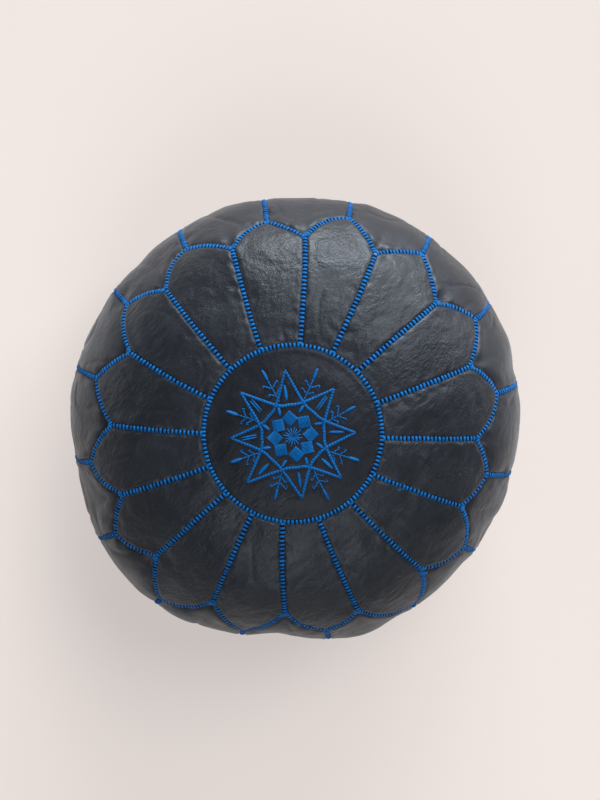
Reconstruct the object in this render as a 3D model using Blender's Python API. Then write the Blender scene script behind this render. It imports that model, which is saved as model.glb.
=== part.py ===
"""Round moroccan pouf: sixteen-petal leather cover, stuffing and base zip.

The pouf stands on its base. The origin is the centre of the base, +Z is up
through the embroidered centre disc, and the first radial seam lies on +Y.
The zip in the base runs along X. Lengths are in metres.
"""

import math

import bmesh
import bpy
import numpy as np

# Overall shape
HEIGHT = 0.320
BELLY_RADIUS = 0.256
BELLY_HEIGHT = 0.150
CROWN_ROUNDNESS = 2.4
FLOOR_RADIUS = 0.188

# Seam layout, given as distances from the vertical axis
PETALS = 16
HUB_RADIUS = 0.0945
VALLEY_RADIUS = 0.202
TIP_RADIUS = 0.229
BASE_SEAM_RADIUS = 0.210
TIP_ROUNDNESS = 1.7

# Leather and thread
LEATHER = 0.002
SEAM_GAP = 0.0003
STITCH_WIDTH = 0.006
STITCH_LIFT = 0.0005
STITCH_TOP = 0.0015
STUFFING_INSET = 0.0042

# Embroidery on the centre disc
STAR_POINTS = 8
STAR_RADIUS = 0.066
STAR_CROSSING_RADIUS = 0.0357
STAR_LINE = 0.0034
STAR_TURN = math.radians(-7.0)
ROSETTE_INNER = 0.0125
ROSETTE_OUTER = 0.0265

# Zip in the base
RECESS = 0.008
WINDOW = (0.148, 0.008)
RECESS_FLOOR = (0.158, 0.016)
RECESS_EDGE = (0.172, 0.048)
ZIP_HALF = 0.130
ZIP_PLANE = 0.0108
TOOTH_PITCH = 0.0065
TOOTH_WIDTH = 0.0032
TOOTH_HEIGHT = 0.003
TOOTH_REACH = 0.00055
SPINE = (0.0022, 0.0035)
TAPE = (0.0039, 0.0170)
TAPE_THICKNESS = 0.0008
SLIDER_SIZE = (0.011, 0.0100)
PLATE = 0.0011
SLIDER_CLEARANCE = 0.0004
PIN_HEIGHT = 0.0056
PIN_HALF = 0.0006
EYE_OUTER = 0.00185
EYE_INNER = 0.00128
PULL_LENGTH = 0.031

# Mesh resolution
PANEL_COLUMNS = 6
PETAL_SHARES = (0.0, 0.34, 0.62, 0.83, 1.0)
SIDE_SHARES = (0.0, 0.14, 0.28, 0.41, 0.53, 0.64, 0.74, 0.83, 0.91, 1.0)
DISC_SEGMENTS = 48
STUFFING_SEGMENTS = 32

SECTOR = 2 * math.pi / PETALS
FIRST_SEAM = math.pi / 2

COLOURS = {
    "hub_leather": ((0.0075, 0.0085, 0.0115), 0.45, 0.0),
    "leather": ((0.028, 0.030, 0.036), 0.48, 0.0),
    "thread": ((0.012, 0.085, 0.36), 0.55, 0.0),
    "stuffing": ((0.62, 0.58, 0.50), 0.95, 0.0),
    "zip_tape": ((0.015, 0.015, 0.018), 0.85, 0.0),
    "zip_metal": ((0.42, 0.31, 0.15), 0.35, 1.0),
}


def material(slot):
    """One Principled material for each kind of surface."""
    found = bpy.data.materials.get(slot)
    if found:
        return found
    colour, roughness, metallic = COLOURS[slot]
    made = bpy.data.materials.new(slot)
    made.use_nodes = True
    shader = made.node_tree.nodes["Principled BSDF"]
    shader.inputs["Base Color"].default_value = (*colour, 1.0)
    shader.inputs["Roughness"].default_value = roughness
    shader.inputs["Metallic"].default_value = metallic
    made.diffuse_color = (*colour, 1.0)
    return made


def add_object(name, mesh, slot, location=(0, 0, 0), turn=0.0):
    """Put a mesh in the scene as a named piece."""
    if not mesh.materials:
        mesh.materials.append(material(slot))
    piece = bpy.data.objects.new(name, mesh)
    piece.location = location
    piece.rotation_euler.z = turn
    bpy.context.collection.objects.link(piece)
    return piece


# The outline of the pouf, from the top centre out and down to the floor


def outline():
    """Distance along the outline, and radius and height at each distance."""
    crown = np.linspace(math.pi / 2, 0, 400)
    power = 2 / CROWN_ROUNDNESS
    crown_radius = BELLY_RADIUS * np.cos(crown) ** power
    crown_rise = (HEIGHT - BELLY_HEIGHT) * np.sin(crown) ** power
    under = np.linspace(0, math.pi / 2, 300)[1:]
    under_width = BELLY_RADIUS - FLOOR_RADIUS
    under_radius = FLOOR_RADIUS + under_width * np.cos(under)
    under_height = BELLY_HEIGHT * (1 - np.sin(under))
    radius = np.concatenate([crown_radius, under_radius])
    height = np.concatenate([BELLY_HEIGHT + crown_rise, under_height])
    radius[0] = 0.0
    steps = np.hypot(np.diff(radius), np.diff(height))
    return np.concatenate([[0.0], np.cumsum(steps)]), radius, height


RUN, RUN_RADIUS, RUN_HEIGHT = outline()


def radius_at(run):
    return float(np.interp(run, RUN, RUN_RADIUS))


def run_at_radius(radius, below_belly=False):
    """Distance along the outline where it has this radius."""
    belly = int(np.argmax(RUN_RADIUS))
    if below_belly:
        return float(np.interp(-radius, -RUN_RADIUS[belly:], RUN[belly:]))
    return float(np.interp(radius, RUN_RADIUS[: belly + 1], RUN[: belly + 1]))


def surface(angle, run, lift=0.0):
    """A point of the cover, lifted along its outward normal."""
    step = 0.0015
    ahead = min(run + step, RUN[-1])
    behind = max(run - step, 0.0)
    slope_radius = np.interp(ahead, RUN, RUN_RADIUS) - np.interp(behind, RUN, RUN_RADIUS)
    slope_height = np.interp(ahead, RUN, RUN_HEIGHT) - np.interp(behind, RUN, RUN_HEIGHT)
    size = math.hypot(slope_radius, slope_height)
    radius = radius_at(run) - lift * slope_height / size
    height = np.interp(run, RUN, RUN_HEIGHT) + lift * slope_radius / size
    if run <= 0.0:
        radius = 0.0
    return (radius * math.cos(angle), radius * math.sin(angle), float(height))


HUB_RUN = run_at_radius(HUB_RADIUS)
VALLEY_RUN = run_at_radius(VALLEY_RADIUS)
TIP_RUN = run_at_radius(TIP_RADIUS)
BASE_RUN = run_at_radius(BASE_SEAM_RADIUS, below_belly=True)


def spread(start, end, shares):
    """Distances between two ends, closer together where the cover turns faster."""
    return [start + (end - start) * share for share in shares]


def petal_edge(from_tip):
    """Where the petals end: round tips at mid-petal, sharp valleys at the seams."""
    share = min(abs(from_tip) / (SECTOR / 2), 1.0)
    return TIP_RUN - (TIP_RUN - VALLEY_RUN) * share ** TIP_ROUNDNESS


# Solids


def shell(name, outer, inner, faces, smooth=35.0):
    """A closed solid between an outer and an inner copy of the same faces."""
    work = bmesh.new()
    outside = [work.verts.new(point) for point in outer]
    inside = [work.verts.new(point) for point in inner]
    sides = {}
    for face in faces:
        work.faces.new([outside[corner] for corner in face])
        work.faces.new([inside[corner] for corner in reversed(face)])
        for start, end in zip(face, face[1:] + face[:1]):
            sides[(start, end)] = True
    for start, end in sides:
        if (end, start) not in sides:
            work.faces.new([outside[end], outside[start], inside[start], inside[end]])
    return finish_mesh(name, work, smooth)


def finish_mesh(name, work, smooth=35.0):
    mesh = bpy.data.meshes.new(name)
    work.to_mesh(mesh)
    work.free()
    mesh.shade_smooth()
    mesh.set_sharp_from_angle(angle=math.radians(smooth))
    return mesh


def cover_shell(name, places, faces, low, high):
    """A shell that follows the cover, between two heights above it."""
    outer = [surface(angle, run, high) for angle, run in places]
    inner = [surface(angle, run, low) for angle, run in places]
    return shell(name, outer, inner, faces)


def grid_faces(columns, rows, closed=False):
    """Faces of a grid whose points run down each column in turn."""
    faces = []
    stride = rows + 1
    for column in range(columns):
        left = column * stride
        right = left + stride
        if closed and column == columns - 1:
            right = 0
        for row in range(rows):
            faces.append([left + row, left + row + 1, right + row + 1, right + row])
    return faces


def extrude(name, outline_points, place, low, high, hole=None):
    """A straight extrusion of an outline, with an optional hole of as many points."""
    work = bmesh.new()
    ends = []
    for depth in (low, high):
        rim = [work.verts.new(place(first, second, depth)) for first, second in outline_points]
        core = []
        if hole:
            core = [work.verts.new(place(first, second, depth)) for first, second in hole]
        ends.append((rim, core))
    count = len(outline_points)
    for index in range(count):
        after = (index + 1) % count
        low_rim, low_core = ends[0]
        high_rim, high_core = ends[1]
        work.faces.new([low_rim[index], low_rim[after], high_rim[after], high_rim[index]])
        if hole:
            work.faces.new([low_core[after], low_core[index], high_core[index], high_core[after]])
            work.faces.new([low_rim[after], low_rim[index], low_core[index], low_core[after]])
            work.faces.new([high_rim[index], high_rim[after], high_core[after], high_core[index]])
    if not hole:
        work.faces.new(list(reversed(ends[0][0])))
        work.faces.new(ends[1][0])
    bmesh.ops.recalc_face_normals(work, faces=work.faces[:])
    return finish_mesh(name, work)


def box(name, low, high):
    """A box between two corners."""
    corners = [(low[0], low[1]), (high[0], low[1]), (high[0], high[1]), (low[0], high[1])]
    return extrude(name, corners, lambda x, y, z: (x, y, z), low[2], high[2])


def join_solid(target, addition_name, mesh):
    """Boolean union of a helper solid into a piece."""
    helper = bpy.data.objects.new(addition_name, mesh)
    helper.location = target.location
    helper.hide_render = True
    helper.display_type = "WIRE"
    bpy.context.collection.objects.link(helper)
    union = target.modifiers.new(addition_name, "BOOLEAN")
    union.operation = "UNION"
    union.solver = "EXACT"
    union.object = helper


# Leather cover


def petal_angles():
    """Column angles of one petal, counted from the petal's middle."""
    return [SECTOR * (column / PANEL_COLUMNS - 0.5) for column in range(PANEL_COLUMNS + 1)]


def build_petals():
    start = HUB_RUN + SEAM_GAP
    places = []
    for angle in petal_angles():
        end = petal_edge(angle) - SEAM_GAP
        for run in spread(start, end, PETAL_SHARES):
            margin = SEAM_GAP / radius_at(run)
            places.append((max(min(angle, SECTOR / 2 - margin), margin - SECTOR / 2), run))
    faces = grid_faces(PANEL_COLUMNS, len(PETAL_SHARES) - 1)
    mesh = cover_shell("petal", places, faces, -LEATHER, 0.0)
    for number in range(PETALS):
        turn = FIRST_SEAM - (number + 0.5) * SECTOR
        add_object(f"petal_{number + 1:02d}", mesh, "leather", turn=turn)


def build_side_panels():
    """Each side panel has its point at the end of a radial seam."""
    places = []
    for angle in petal_angles():
        start = petal_edge(SECTOR / 2 - abs(angle)) + SEAM_GAP
        end = BASE_RUN - SEAM_GAP
        for run in spread(start, end, SIDE_SHARES):
            margin = SEAM_GAP / radius_at(run)
            places.append((max(min(angle, SECTOR / 2 - margin), margin - SECTOR / 2), run))
    faces = grid_faces(PANEL_COLUMNS, len(SIDE_SHARES) - 1)
    mesh = cover_shell("side_panel", places, faces, -LEATHER, 0.0)
    for number in range(PETALS):
        turn = FIRST_SEAM - number * SECTOR
        add_object(f"side_panel_{number + 1:02d}", mesh, "leather", turn=turn)


def build_centre_disc():
    rings = [HUB_RUN * share for share in (0.3, 0.65)] + [HUB_RUN - SEAM_GAP]
    places = []
    for segment in range(DISC_SEGMENTS):
        angle = FIRST_SEAM + 2 * math.pi * segment / DISC_SEGMENTS
        places += [(angle, run) for run in rings]
    faces = grid_faces(DISC_SEGMENTS, len(rings) - 1, closed=True)
    centre = len(places)
    places.append((0.0, 0.0))
    for segment in range(DISC_SEGMENTS):
        after = (segment + 1) % DISC_SEGMENTS
        faces.append([centre, segment * len(rings), after * len(rings)])
    mesh = cover_shell("centre_disc", places, faces, -LEATHER, 0.0)
    add_object("centre_disc", mesh, "hub_leather")


# Stitching, as raised bands that follow the seams


def band_ring(name, run, segments):
    """A closed band around the axis."""
    places = []
    for segment in range(segments):
        angle = FIRST_SEAM + 2 * math.pi * segment / segments
        places.append((angle, run - STITCH_WIDTH / 2))
        places.append((angle, run + STITCH_WIDTH / 2))
    faces = grid_faces(segments, 1, closed=True)
    mesh = cover_shell(name, places, faces, STITCH_LIFT, STITCH_TOP)
    add_object(name, mesh, "thread")


def edge_offset(from_seam, shift):
    """A point beside the petals' edge; shift is positive towards the side panels."""
    step = 0.002
    from_tip = SECTOR / 2 - from_seam
    run = petal_edge(from_tip)
    rise = (petal_edge(from_tip - step) - petal_edge(from_tip + step)) / (2 * step)
    rise = rise / radius_at(run)
    size = math.hypot(1.0, rise)
    angle = from_seam - shift * rise / (size * radius_at(run))
    return angle, run + shift / size


def build_petal_stitching():
    """Radial seams and the zigzag around the petals, as one connected band."""
    half = STITCH_WIDTH / 2
    steep = (TIP_RUN - VALLEY_RUN) * TIP_ROUNDNESS / (SECTOR / 2 * VALLEY_RADIUS)
    valley_reach = half * math.hypot(1.0, steep)
    join_run = VALLEY_RUN - half * (math.hypot(1.0, steep) - steep)
    radial_start = HUB_RUN + half + 2 * SEAM_GAP
    radial_runs = spread(radial_start, join_run, PETAL_SHARES)
    inner_steps = [column * SECTOR / PANEL_COLUMNS for column in range(1, PANEL_COLUMNS)]
    places = []
    faces = []
    stride = 2 * len(radial_runs) + 1 + 2 * len(inner_steps)
    total = stride * PETALS
    for number in range(PETALS):
        seam = FIRST_SEAM + number * SECTOR
        first = len(places)
        for run in radial_runs:
            places.append((seam - half / radius_at(run), run))
            places.append((seam + half / radius_at(run), run))
        for row in range(len(radial_runs) - 1):
            low = first + 2 * row
            faces.append([low, low + 2, low + 3, low + 1])
        last_low = first + 2 * len(radial_runs) - 2
        point = len(places)
        places.append((seam, VALLEY_RUN + valley_reach))
        faces.append([last_low, point, last_low + 1])
        for from_seam in inner_steps:
            for shift in (-half, half):
                mirrored = min(from_seam, SECTOR - from_seam)
                angle, run = edge_offset(mirrored, shift)
                if from_seam > SECTOR / 2:
                    angle = SECTOR - angle
                places.append((seam + angle, run))
        arm = point + 1
        faces.append([last_low + 1, point, arm + 1, arm])
        for column in range(len(inner_steps) - 1):
            low = arm + 2 * column
            faces.append([low, low + 1, low + 3, low + 2])
        last_arm = arm + 2 * (len(inner_steps) - 1)
        next_first = (first + stride) % total
        next_low = next_first + 2 * len(radial_runs) - 2
        next_point = next_low + 2
        faces.append([last_arm, last_arm + 1, next_point, next_low])
    mesh = cover_shell("petal_stitching", places, faces, STITCH_LIFT, STITCH_TOP)
    add_object("petal_stitching", mesh, "thread")


def build_side_stitching():
    """Side seams running down into the base seam, as one connected band."""
    half = STITCH_WIDTH / 2
    top = TIP_RUN + half + 2 * SEAM_GAP
    bottom = BASE_RUN - half
    runs = spread(top, bottom, SIDE_SHARES)
    between = [column * SECTOR / PANEL_COLUMNS for column in range(1, PANEL_COLUMNS)]
    places = []
    faces = []
    stride = 2 * len(runs) + 2 + 2 * len(between)
    total = stride * PETALS
    for number in range(PETALS):
        seam = FIRST_SEAM + (number + 0.5) * SECTOR
        first = len(places)
        for run in runs + [BASE_RUN + half]:
            places.append((seam - half / radius_at(run), run))
            places.append((seam + half / radius_at(run), run))
        for row in range(len(runs)):
            low = first + 2 * row
            faces.append([low, low + 2, low + 3, low + 1])
        corner = first + 2 * len(runs) - 2
        ring = len(places)
        for angle in between:
            places.append((seam + angle, bottom))
            places.append((seam + angle, BASE_RUN + half))
        faces.append([corner + 1, corner + 3, ring + 1, ring])
        for column in range(len(between) - 1):
            low = ring + 2 * column
            faces.append([low, low + 1, low + 3, low + 2])
        last = ring + 2 * (len(between) - 1)
        next_corner = (first + stride) % total + 2 * len(runs) - 2
        faces.append([last, last + 1, next_corner + 2, next_corner])
    mesh = cover_shell("side_stitching", places, faces, STITCH_LIFT, STITCH_TOP)
    add_object("side_stitching", mesh, "thread")


# Embroidery


def disc_places(points):
    """Plan points on the centre disc, as places on the cover."""
    places = []
    for x, y in points:
        places.append((math.atan2(y, x), run_at_radius(math.hypot(x, y))))
    return places


def polar(radius, angle):
    return radius * math.cos(angle), radius * math.sin(angle)


def build_star():
    """Two interlaced squares with bowed sides, as one connected raised line."""
    half = STAR_LINE / 2
    step = 2 * math.pi / STAR_POINTS
    points = []
    faces = []
    stride = 10
    total = stride * STAR_POINTS
    for number in range(STAR_POINTS):
        tip = FIRST_SEAM + STAR_TURN + number * step
        crossing = tip + step / 2
        spread = half * 1.35
        middle = (STAR_RADIUS + STAR_CROSSING_RADIUS) / 2
        side = spread / STAR_CROSSING_RADIUS
        bow = step * 0.175
        first = len(points)
        points.append(polar(STAR_RADIUS + 2 * half, tip))
        points.append(polar(STAR_RADIUS - 3 * half, tip))
        points.append(polar(STAR_CROSSING_RADIUS + spread, crossing))
        points.append(polar(STAR_CROSSING_RADIUS, crossing - side))
        points.append(polar(STAR_CROSSING_RADIUS - spread, crossing))
        points.append(polar(STAR_CROSSING_RADIUS, crossing + side))
        points.append(polar(middle + half, tip + bow + half / middle))
        points.append(polar(middle - half, tip + bow - half / middle))
        points.append(polar(middle + half, tip - bow - half / middle))
        points.append(polar(middle - half, tip - bow + half / middle))
        before = (first - stride) % total
        faces.append([first + 4, first + 3, first + 2, first + 5])
        faces.append([first + 7, first + 1, first + 0, first + 6])
        faces.append([first + 3, first + 7, first + 6, first + 2])
        faces.append([first + 9, first + 8, first + 0, first + 1])
        faces.append([before + 5, before + 2, first + 8, first + 9])
        faces.append([before + 4, before + 5, first + 3, first + 4])
    mesh = cover_shell("embroidered_star", disc_places(points), faces, STITCH_LIFT, STITCH_TOP)
    add_object("embroidered_star", mesh, "thread")


def build_rosette():
    """The ring of eight filled squares around the centre."""
    step = 2 * math.pi / STAR_POINTS
    points = []
    faces = []
    middle = (ROSETTE_INNER + ROSETTE_OUTER) / 2
    for number in range(2 * STAR_POINTS):
        angle = FIRST_SEAM + STAR_TURN + number * step / 2
        reach = (ROSETTE_OUTER - ROSETTE_INNER) / 2 if number % 2 == 0 else 0.0012
        points.append(polar(middle - reach, angle))
        points.append(polar(middle + reach, angle))
    faces = grid_faces(2 * STAR_POINTS, 1, closed=True)
    mesh = cover_shell("embroidered_rosette", disc_places(points), faces, STITCH_LIFT, STITCH_TOP)
    add_object("embroidered_rosette", mesh, "thread")


# Base disc and stuffing


def rounded_box_loop(half_size, count):
    """Points around a rectangle, one for each of a circle's points."""
    loop = []
    for index in range(count):
        angle = 2 * math.pi * index / count
        across = max(-1.0, min(1.0, math.cos(angle) / math.cos(math.radians(22.5))))
        along = max(-1.0, min(1.0, math.sin(angle) / math.sin(math.radians(22.5))))
        loop.append((half_size[0] * across, half_size[1] * along))
    return loop


def circle_loop(radius, count):
    return [polar(radius, 2 * math.pi * index / count) for index in range(count)]


def loops_to_columns(loops):
    """Turn rings of points into the column order of grid_faces."""
    return [loop[index] for index in range(len(loops[0])) for loop in loops]


def build_base_disc():
    """The round base: flat where it rests, hollowed along the zip window."""
    count = DISC_SEGMENTS
    rim_run = BASE_RUN + SEAM_GAP
    turn_run = (rim_run + RUN[-1]) / 2
    angles = [2 * math.pi * index / count for index in range(count)]
    outer = []
    inner = []
    for run in (rim_run, turn_run):
        outer.append([surface(angle, run, 0.0) for angle in angles])
        inner.append([surface(angle, run, -LEATHER) for angle in angles])
    levels = [
        (circle_loop(FLOOR_RADIUS, count), 0.0),
        (rounded_box_loop(RECESS_EDGE, count), 0.0),
        (rounded_box_loop(RECESS_FLOOR, count), RECESS),
        (rounded_box_loop(WINDOW, count), RECESS),
    ]
    for loop, height in levels:
        outer.append([(x, y, height) for x, y in loop])
        inner.append([(x, y, height + LEATHER) for x, y in loop])
    faces = grid_faces(count, len(outer) - 1, closed=True)
    outside = loops_to_columns(outer)
    inside = loops_to_columns(inner)
    mesh = shell("base_disc", outside, inside, faces)
    add_object("base_disc", mesh, "leather")


def build_window_stitching():
    """The sewn line that holds the zip around its window."""
    count = DISC_SEGMENTS
    loops = []
    for margin in (0.0045, 0.0025):
        loop = rounded_box_loop((WINDOW[0] + margin, WINDOW[1] + margin), count)
        loops.append(loop)
    outer = [[(x, y, RECESS - 0.0011) for x, y in loop] for loop in loops]
    inner = [[(x, y, RECESS - 0.0004) for x, y in loop] for loop in loops]
    faces = grid_faces(count, 1, closed=True)
    mesh = shell("zip_window_stitching", loops_to_columns(outer), loops_to_columns(inner), faces)
    add_object("zip_window_stitching", mesh, "thread")


def build_stuffing():
    """The packed filling, with a trough that clears the zip."""
    count = STUFFING_SEGMENTS
    angles = [2 * math.pi * index / count for index in range(count)]
    top_runs = [0.055, HUB_RUN, 0.145, 0.185]
    side_runs = spread(VALLEY_RUN + 0.008, BASE_RUN, SIDE_SHARES)
    rings = [[surface(angle, run, -STUFFING_INSET) for angle in angles] for run in top_runs]
    rings += [[surface(angle, run, -STUFFING_INSET) for angle in angles] for run in side_runs]
    floor = 0.0036
    trough = 0.0165
    bottoms = [
        (circle_loop(FLOOR_RADIUS - 0.003, count), floor),
        (rounded_box_loop((RECESS_EDGE[0] + 0.006, RECESS_EDGE[1] + 0.006), count), floor),
        (rounded_box_loop((RECESS_FLOOR[0] + 0.004, RECESS_FLOOR[1] + 0.004), count), trough),
    ]
    rings += [[(x, y, height) for x, y in loop] for loop, height in bottoms]
    work = bmesh.new()
    loops = [[work.verts.new(point) for point in ring] for ring in rings]
    crown = work.verts.new(surface(0.0, 0.0, -STUFFING_INSET))
    for index in range(count):
        after = (index + 1) % count
        work.faces.new([crown, loops[0][index], loops[0][after]])
        for upper, lower in zip(loops, loops[1:]):
            work.faces.new([upper[index], lower[index], lower[after], upper[after]])
    work.faces.new(list(reversed(loops[-1])))
    add_object("stuffing", finish_mesh("stuffing", work), "stuffing")


# Zip


def build_zip_tapes():
    for side, label in ((1, "left"), (-1, "right")):
        near, far = sorted((side * TAPE[0], side * TAPE[1]))
        low = (-ZIP_HALF - 0.012, near, ZIP_PLANE - TAPE_THICKNESS / 2)
        high = (ZIP_HALF + 0.012, far, ZIP_PLANE + TAPE_THICKNESS / 2)
        add_object(f"zip_tape_{label}", box(f"zip_tape_{label}", low, high), "zip_tape")


def build_zip_teeth():
    """Two combs of teeth, set half a pitch apart, with a slot for the slider."""
    for side, label in ((1, "left"), (-1, "right")):
        shift = 0.25 * TOOTH_PITCH * side
        count = int(2 * ZIP_HALF / TOOTH_PITCH) - 1
        points = [(-ZIP_HALF, SPINE[1]), (-ZIP_HALF, SPINE[0])]
        for tooth in range(count):
            middle = (tooth - (count - 1) / 2) * TOOTH_PITCH + shift
            left = middle - TOOTH_WIDTH / 2
            right = middle + TOOTH_WIDTH / 2
            points += [(left, SPINE[0]), (left, TOOTH_REACH)]
            points += [(right, TOOTH_REACH), (right, SPINE[0])]
        points += [(ZIP_HALF, SPINE[0]), (ZIP_HALF, SPINE[1])]
        points = [(x, side * y) for x, y in points]
        if side < 0:
            points.reverse()
        low = ZIP_PLANE - TOOTH_HEIGHT / 2
        high = ZIP_PLANE + TOOTH_HEIGHT / 2
        mesh = extrude(f"zip_teeth_{label}", points, lambda x, y, z: (x, y, z), low, high)
        add_object(f"zip_teeth_{label}", mesh, "zip_metal")


def build_zip_stops():
    low = ZIP_PLANE - TOOTH_HEIGHT / 2
    high = ZIP_PLANE + TOOTH_HEIGHT / 2
    near = ZIP_HALF + 0.0004
    far = near + 0.0035
    stop = box("zip_bottom_stop", (-far, -SPINE[1], low), (-near, SPINE[1], high))
    add_object("zip_bottom_stop", stop, "zip_metal")
    left = box("zip_top_stop_left", (near, TOOTH_REACH, low), (far, SPINE[1], high))
    add_object("zip_top_stop_left", left, "zip_metal")
    right = box("zip_top_stop_right", (near, -SPINE[1], low), (far, -TOOTH_REACH, high))
    add_object("zip_top_stop_right", right, "zip_metal")


SLIDER_X = ZIP_HALF - SLIDER_SIZE[0] / 2 - 0.0005


def build_zip_slider():
    """Two plates around the teeth, joined by a thin web, with a loop for the pull."""
    half_length = SLIDER_SIZE[0] / 2
    half_width = SLIDER_SIZE[1] / 2
    web = TOOTH_REACH - SEAM_GAP
    gap = TOOTH_HEIGHT / 2 + SLIDER_CLEARANCE
    section = [(-half_width, -gap - PLATE), (half_width, -gap - PLATE), (half_width, -gap)]
    section += [(web, -gap), (web, gap), (half_width, gap), (half_width, gap + PLATE)]
    section += [(-half_width, gap + PLATE), (-half_width, gap), (-web, gap), (-web, -gap)]
    section += [(-half_width, -gap)]

    def along_zip(y, z, x):
        return (x, y, z)

    mesh = extrude("zip_slider", section, along_zip, -half_length, half_length)
    slider = add_object("zip_slider", mesh, "zip_metal", location=(SLIDER_X, 0, ZIP_PLANE))
    plate_low = -gap - PLATE
    pin = PIN_HEIGHT - ZIP_PLANE
    outer = [(-0.0039, pin - PIN_HALF), (0.0039, pin - PIN_HALF)]
    outer += [(0.0039, plate_low + PLATE / 2), (-0.0039, plate_low + PLATE / 2)]
    hole = [(-0.0029, pin + PIN_HALF), (0.0029, pin + PIN_HALF)]
    hole += [(0.0029, plate_low + PLATE / 4), (-0.0029, plate_low + PLATE / 4)]
    loop = extrude("pull_loop", outer, along_zip, -PIN_HALF, PIN_HALF, hole=hole)
    join_solid(slider, "pull_loop", loop)


def build_zip_pull():
    """The pull tab: an eye around the slider's pin and a flat blade."""
    count = 12
    rim = [polar(EYE_OUTER, 2 * math.pi * (index + 0.5) / count) for index in range(count)]
    eye = [polar(EYE_INNER, 2 * math.pi * (index + 0.5) / count) for index in range(count)]

    def across_zip(x, z, y):
        return (x, y, z)

    mesh = extrude("zip_pull", rim, across_zip, -0.0024, 0.0024, hole=eye)
    pull = add_object("zip_pull", mesh, "zip_metal", location=(SLIDER_X, 0, PIN_HEIGHT))
    end = -PULL_LENGTH
    neck = -(EYE_OUTER + EYE_INNER) / 2
    outline_points = [(neck, -0.0020), (neck, 0.0020), (-0.0060, 0.0022)]
    outline_points += [(-0.0120, 0.0042), (end + 0.003, 0.0042), (end, 0.0024)]
    outline_points += [(end, -0.0024), (end + 0.003, -0.0042), (-0.0120, -0.0042)]
    outline_points += [(-0.0060, -0.0022)]
    blade = extrude("pull_blade", outline_points, lambda x, y, z: (x, y, z), -0.0006, 0.0006)
    join_solid(pull, "pull_blade", blade)


def main():
    for old in list(bpy.data.objects):
        bpy.data.objects.remove(old)
    build_centre_disc()
    build_star()
    build_rosette()
    build_petals()
    build_side_panels()
    band_ring("hub_ring_stitching", HUB_RUN, DISC_SEGMENTS)
    build_petal_stitching()
    build_side_stitching()
    build_base_disc()
    build_window_stitching()
    build_stuffing()
    build_zip_tapes()
    build_zip_teeth()
    build_zip_stops()
    build_zip_slider()
    build_zip_pull()


main()
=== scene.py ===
"""Looks for the moroccan leather pouf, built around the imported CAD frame.

The pouf stands on its base with the embroidered disc up. Every seam follows
one map of the cover: a column number that counts clockwise through the
sixteen sectors and a row number that runs from the centre disc to the base.
Lengths are in metres.
"""

import math

import bpy
import numpy as np
from mathutils import Matrix, Vector, kdtree


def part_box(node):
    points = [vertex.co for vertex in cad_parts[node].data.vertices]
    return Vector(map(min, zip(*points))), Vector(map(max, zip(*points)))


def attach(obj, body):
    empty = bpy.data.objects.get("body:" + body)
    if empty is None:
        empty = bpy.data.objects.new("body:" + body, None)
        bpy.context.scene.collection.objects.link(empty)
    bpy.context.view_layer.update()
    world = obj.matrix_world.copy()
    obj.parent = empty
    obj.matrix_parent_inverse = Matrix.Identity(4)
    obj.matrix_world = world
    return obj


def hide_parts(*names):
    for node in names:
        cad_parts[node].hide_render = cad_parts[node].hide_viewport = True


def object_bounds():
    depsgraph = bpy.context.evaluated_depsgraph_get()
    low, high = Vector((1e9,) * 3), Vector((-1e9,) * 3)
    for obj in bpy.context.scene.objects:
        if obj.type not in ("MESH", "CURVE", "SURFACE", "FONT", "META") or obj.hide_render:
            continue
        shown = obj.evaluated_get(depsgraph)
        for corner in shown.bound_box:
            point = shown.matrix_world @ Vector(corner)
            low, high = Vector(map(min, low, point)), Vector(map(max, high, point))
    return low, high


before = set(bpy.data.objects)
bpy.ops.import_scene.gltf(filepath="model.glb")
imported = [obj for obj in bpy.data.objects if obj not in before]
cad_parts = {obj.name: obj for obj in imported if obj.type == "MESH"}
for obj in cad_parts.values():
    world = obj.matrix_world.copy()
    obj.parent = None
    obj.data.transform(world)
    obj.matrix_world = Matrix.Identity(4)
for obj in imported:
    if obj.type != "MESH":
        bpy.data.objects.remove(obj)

CAD_LOW, CAD_HIGH = [list(corner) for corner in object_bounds()]

# Shape of the cover: what the CAD nodes give, and then the rest
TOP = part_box("centre_disc")[1].z
HUB_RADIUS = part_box("centre_disc")[1].x + 0.0003
BASE_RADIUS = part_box("base_disc")[1].x + 0.0003
BELLY_RADIUS = (CAD_HIGH[0] - CAD_LOW[0]) / 2 + 0.0003
BELLY_HEIGHT = 0.150
CROWN_ROUNDNESS = 2.4
FLOOR_RADIUS = 0.188
DISC_LEAN = 0.0016
LEATHER_THICKNESS = 0.0022
TURNED_EDGE = 0.0028

# How the sixteen hand-sewn sectors differ, clockwise from +Y. A turn is in degrees.
# A shift is in millimetres, along the outline for the zigzag seam and outwards for
# the rim. The zigzag is straight before or after a tip at 1.0 and rounder above it.
# Pockets are deeper, and their painted shade darker, where their number is larger.
SEAMS = 16
HUB_TURN = (2.3, 1.0, -1.8, 0.0, 0.1, 2.0, 2.3, 3.0, 4.0, 1.8, 0.8, -1.6, -2.2, -2.2, -1.3, -0.7)
VALLEY_TURN = (0.6, -0.4, 0.8, 0.1, 0.3, -0.3, 0.6, 0.8, 0.2, 0.0, -0.4, -0.8, -1.1, 0.4, 0.0, 1.1)
TIP_TURN = (0.8, 0.1, 0.6, -0.8, 0.1, -0.5, -1.9, -0.2, 0.0, 1.0, 0.2, -1.4, 0.0, -0.3, -0.1, 1.1)
VALLEY_SHIFT = (6, 6.5, 2, -3.5, -6, -4.5, 6, 12, -4, 9.5, 3.5, -6, -6, -10.5, 1, 2)
TIP_SHIFT = (13.5, 7, 2.5, -9, -18, 5, 30, 3, 18, 19, -3, -3, -7, 2.5, 3, -1)
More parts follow.
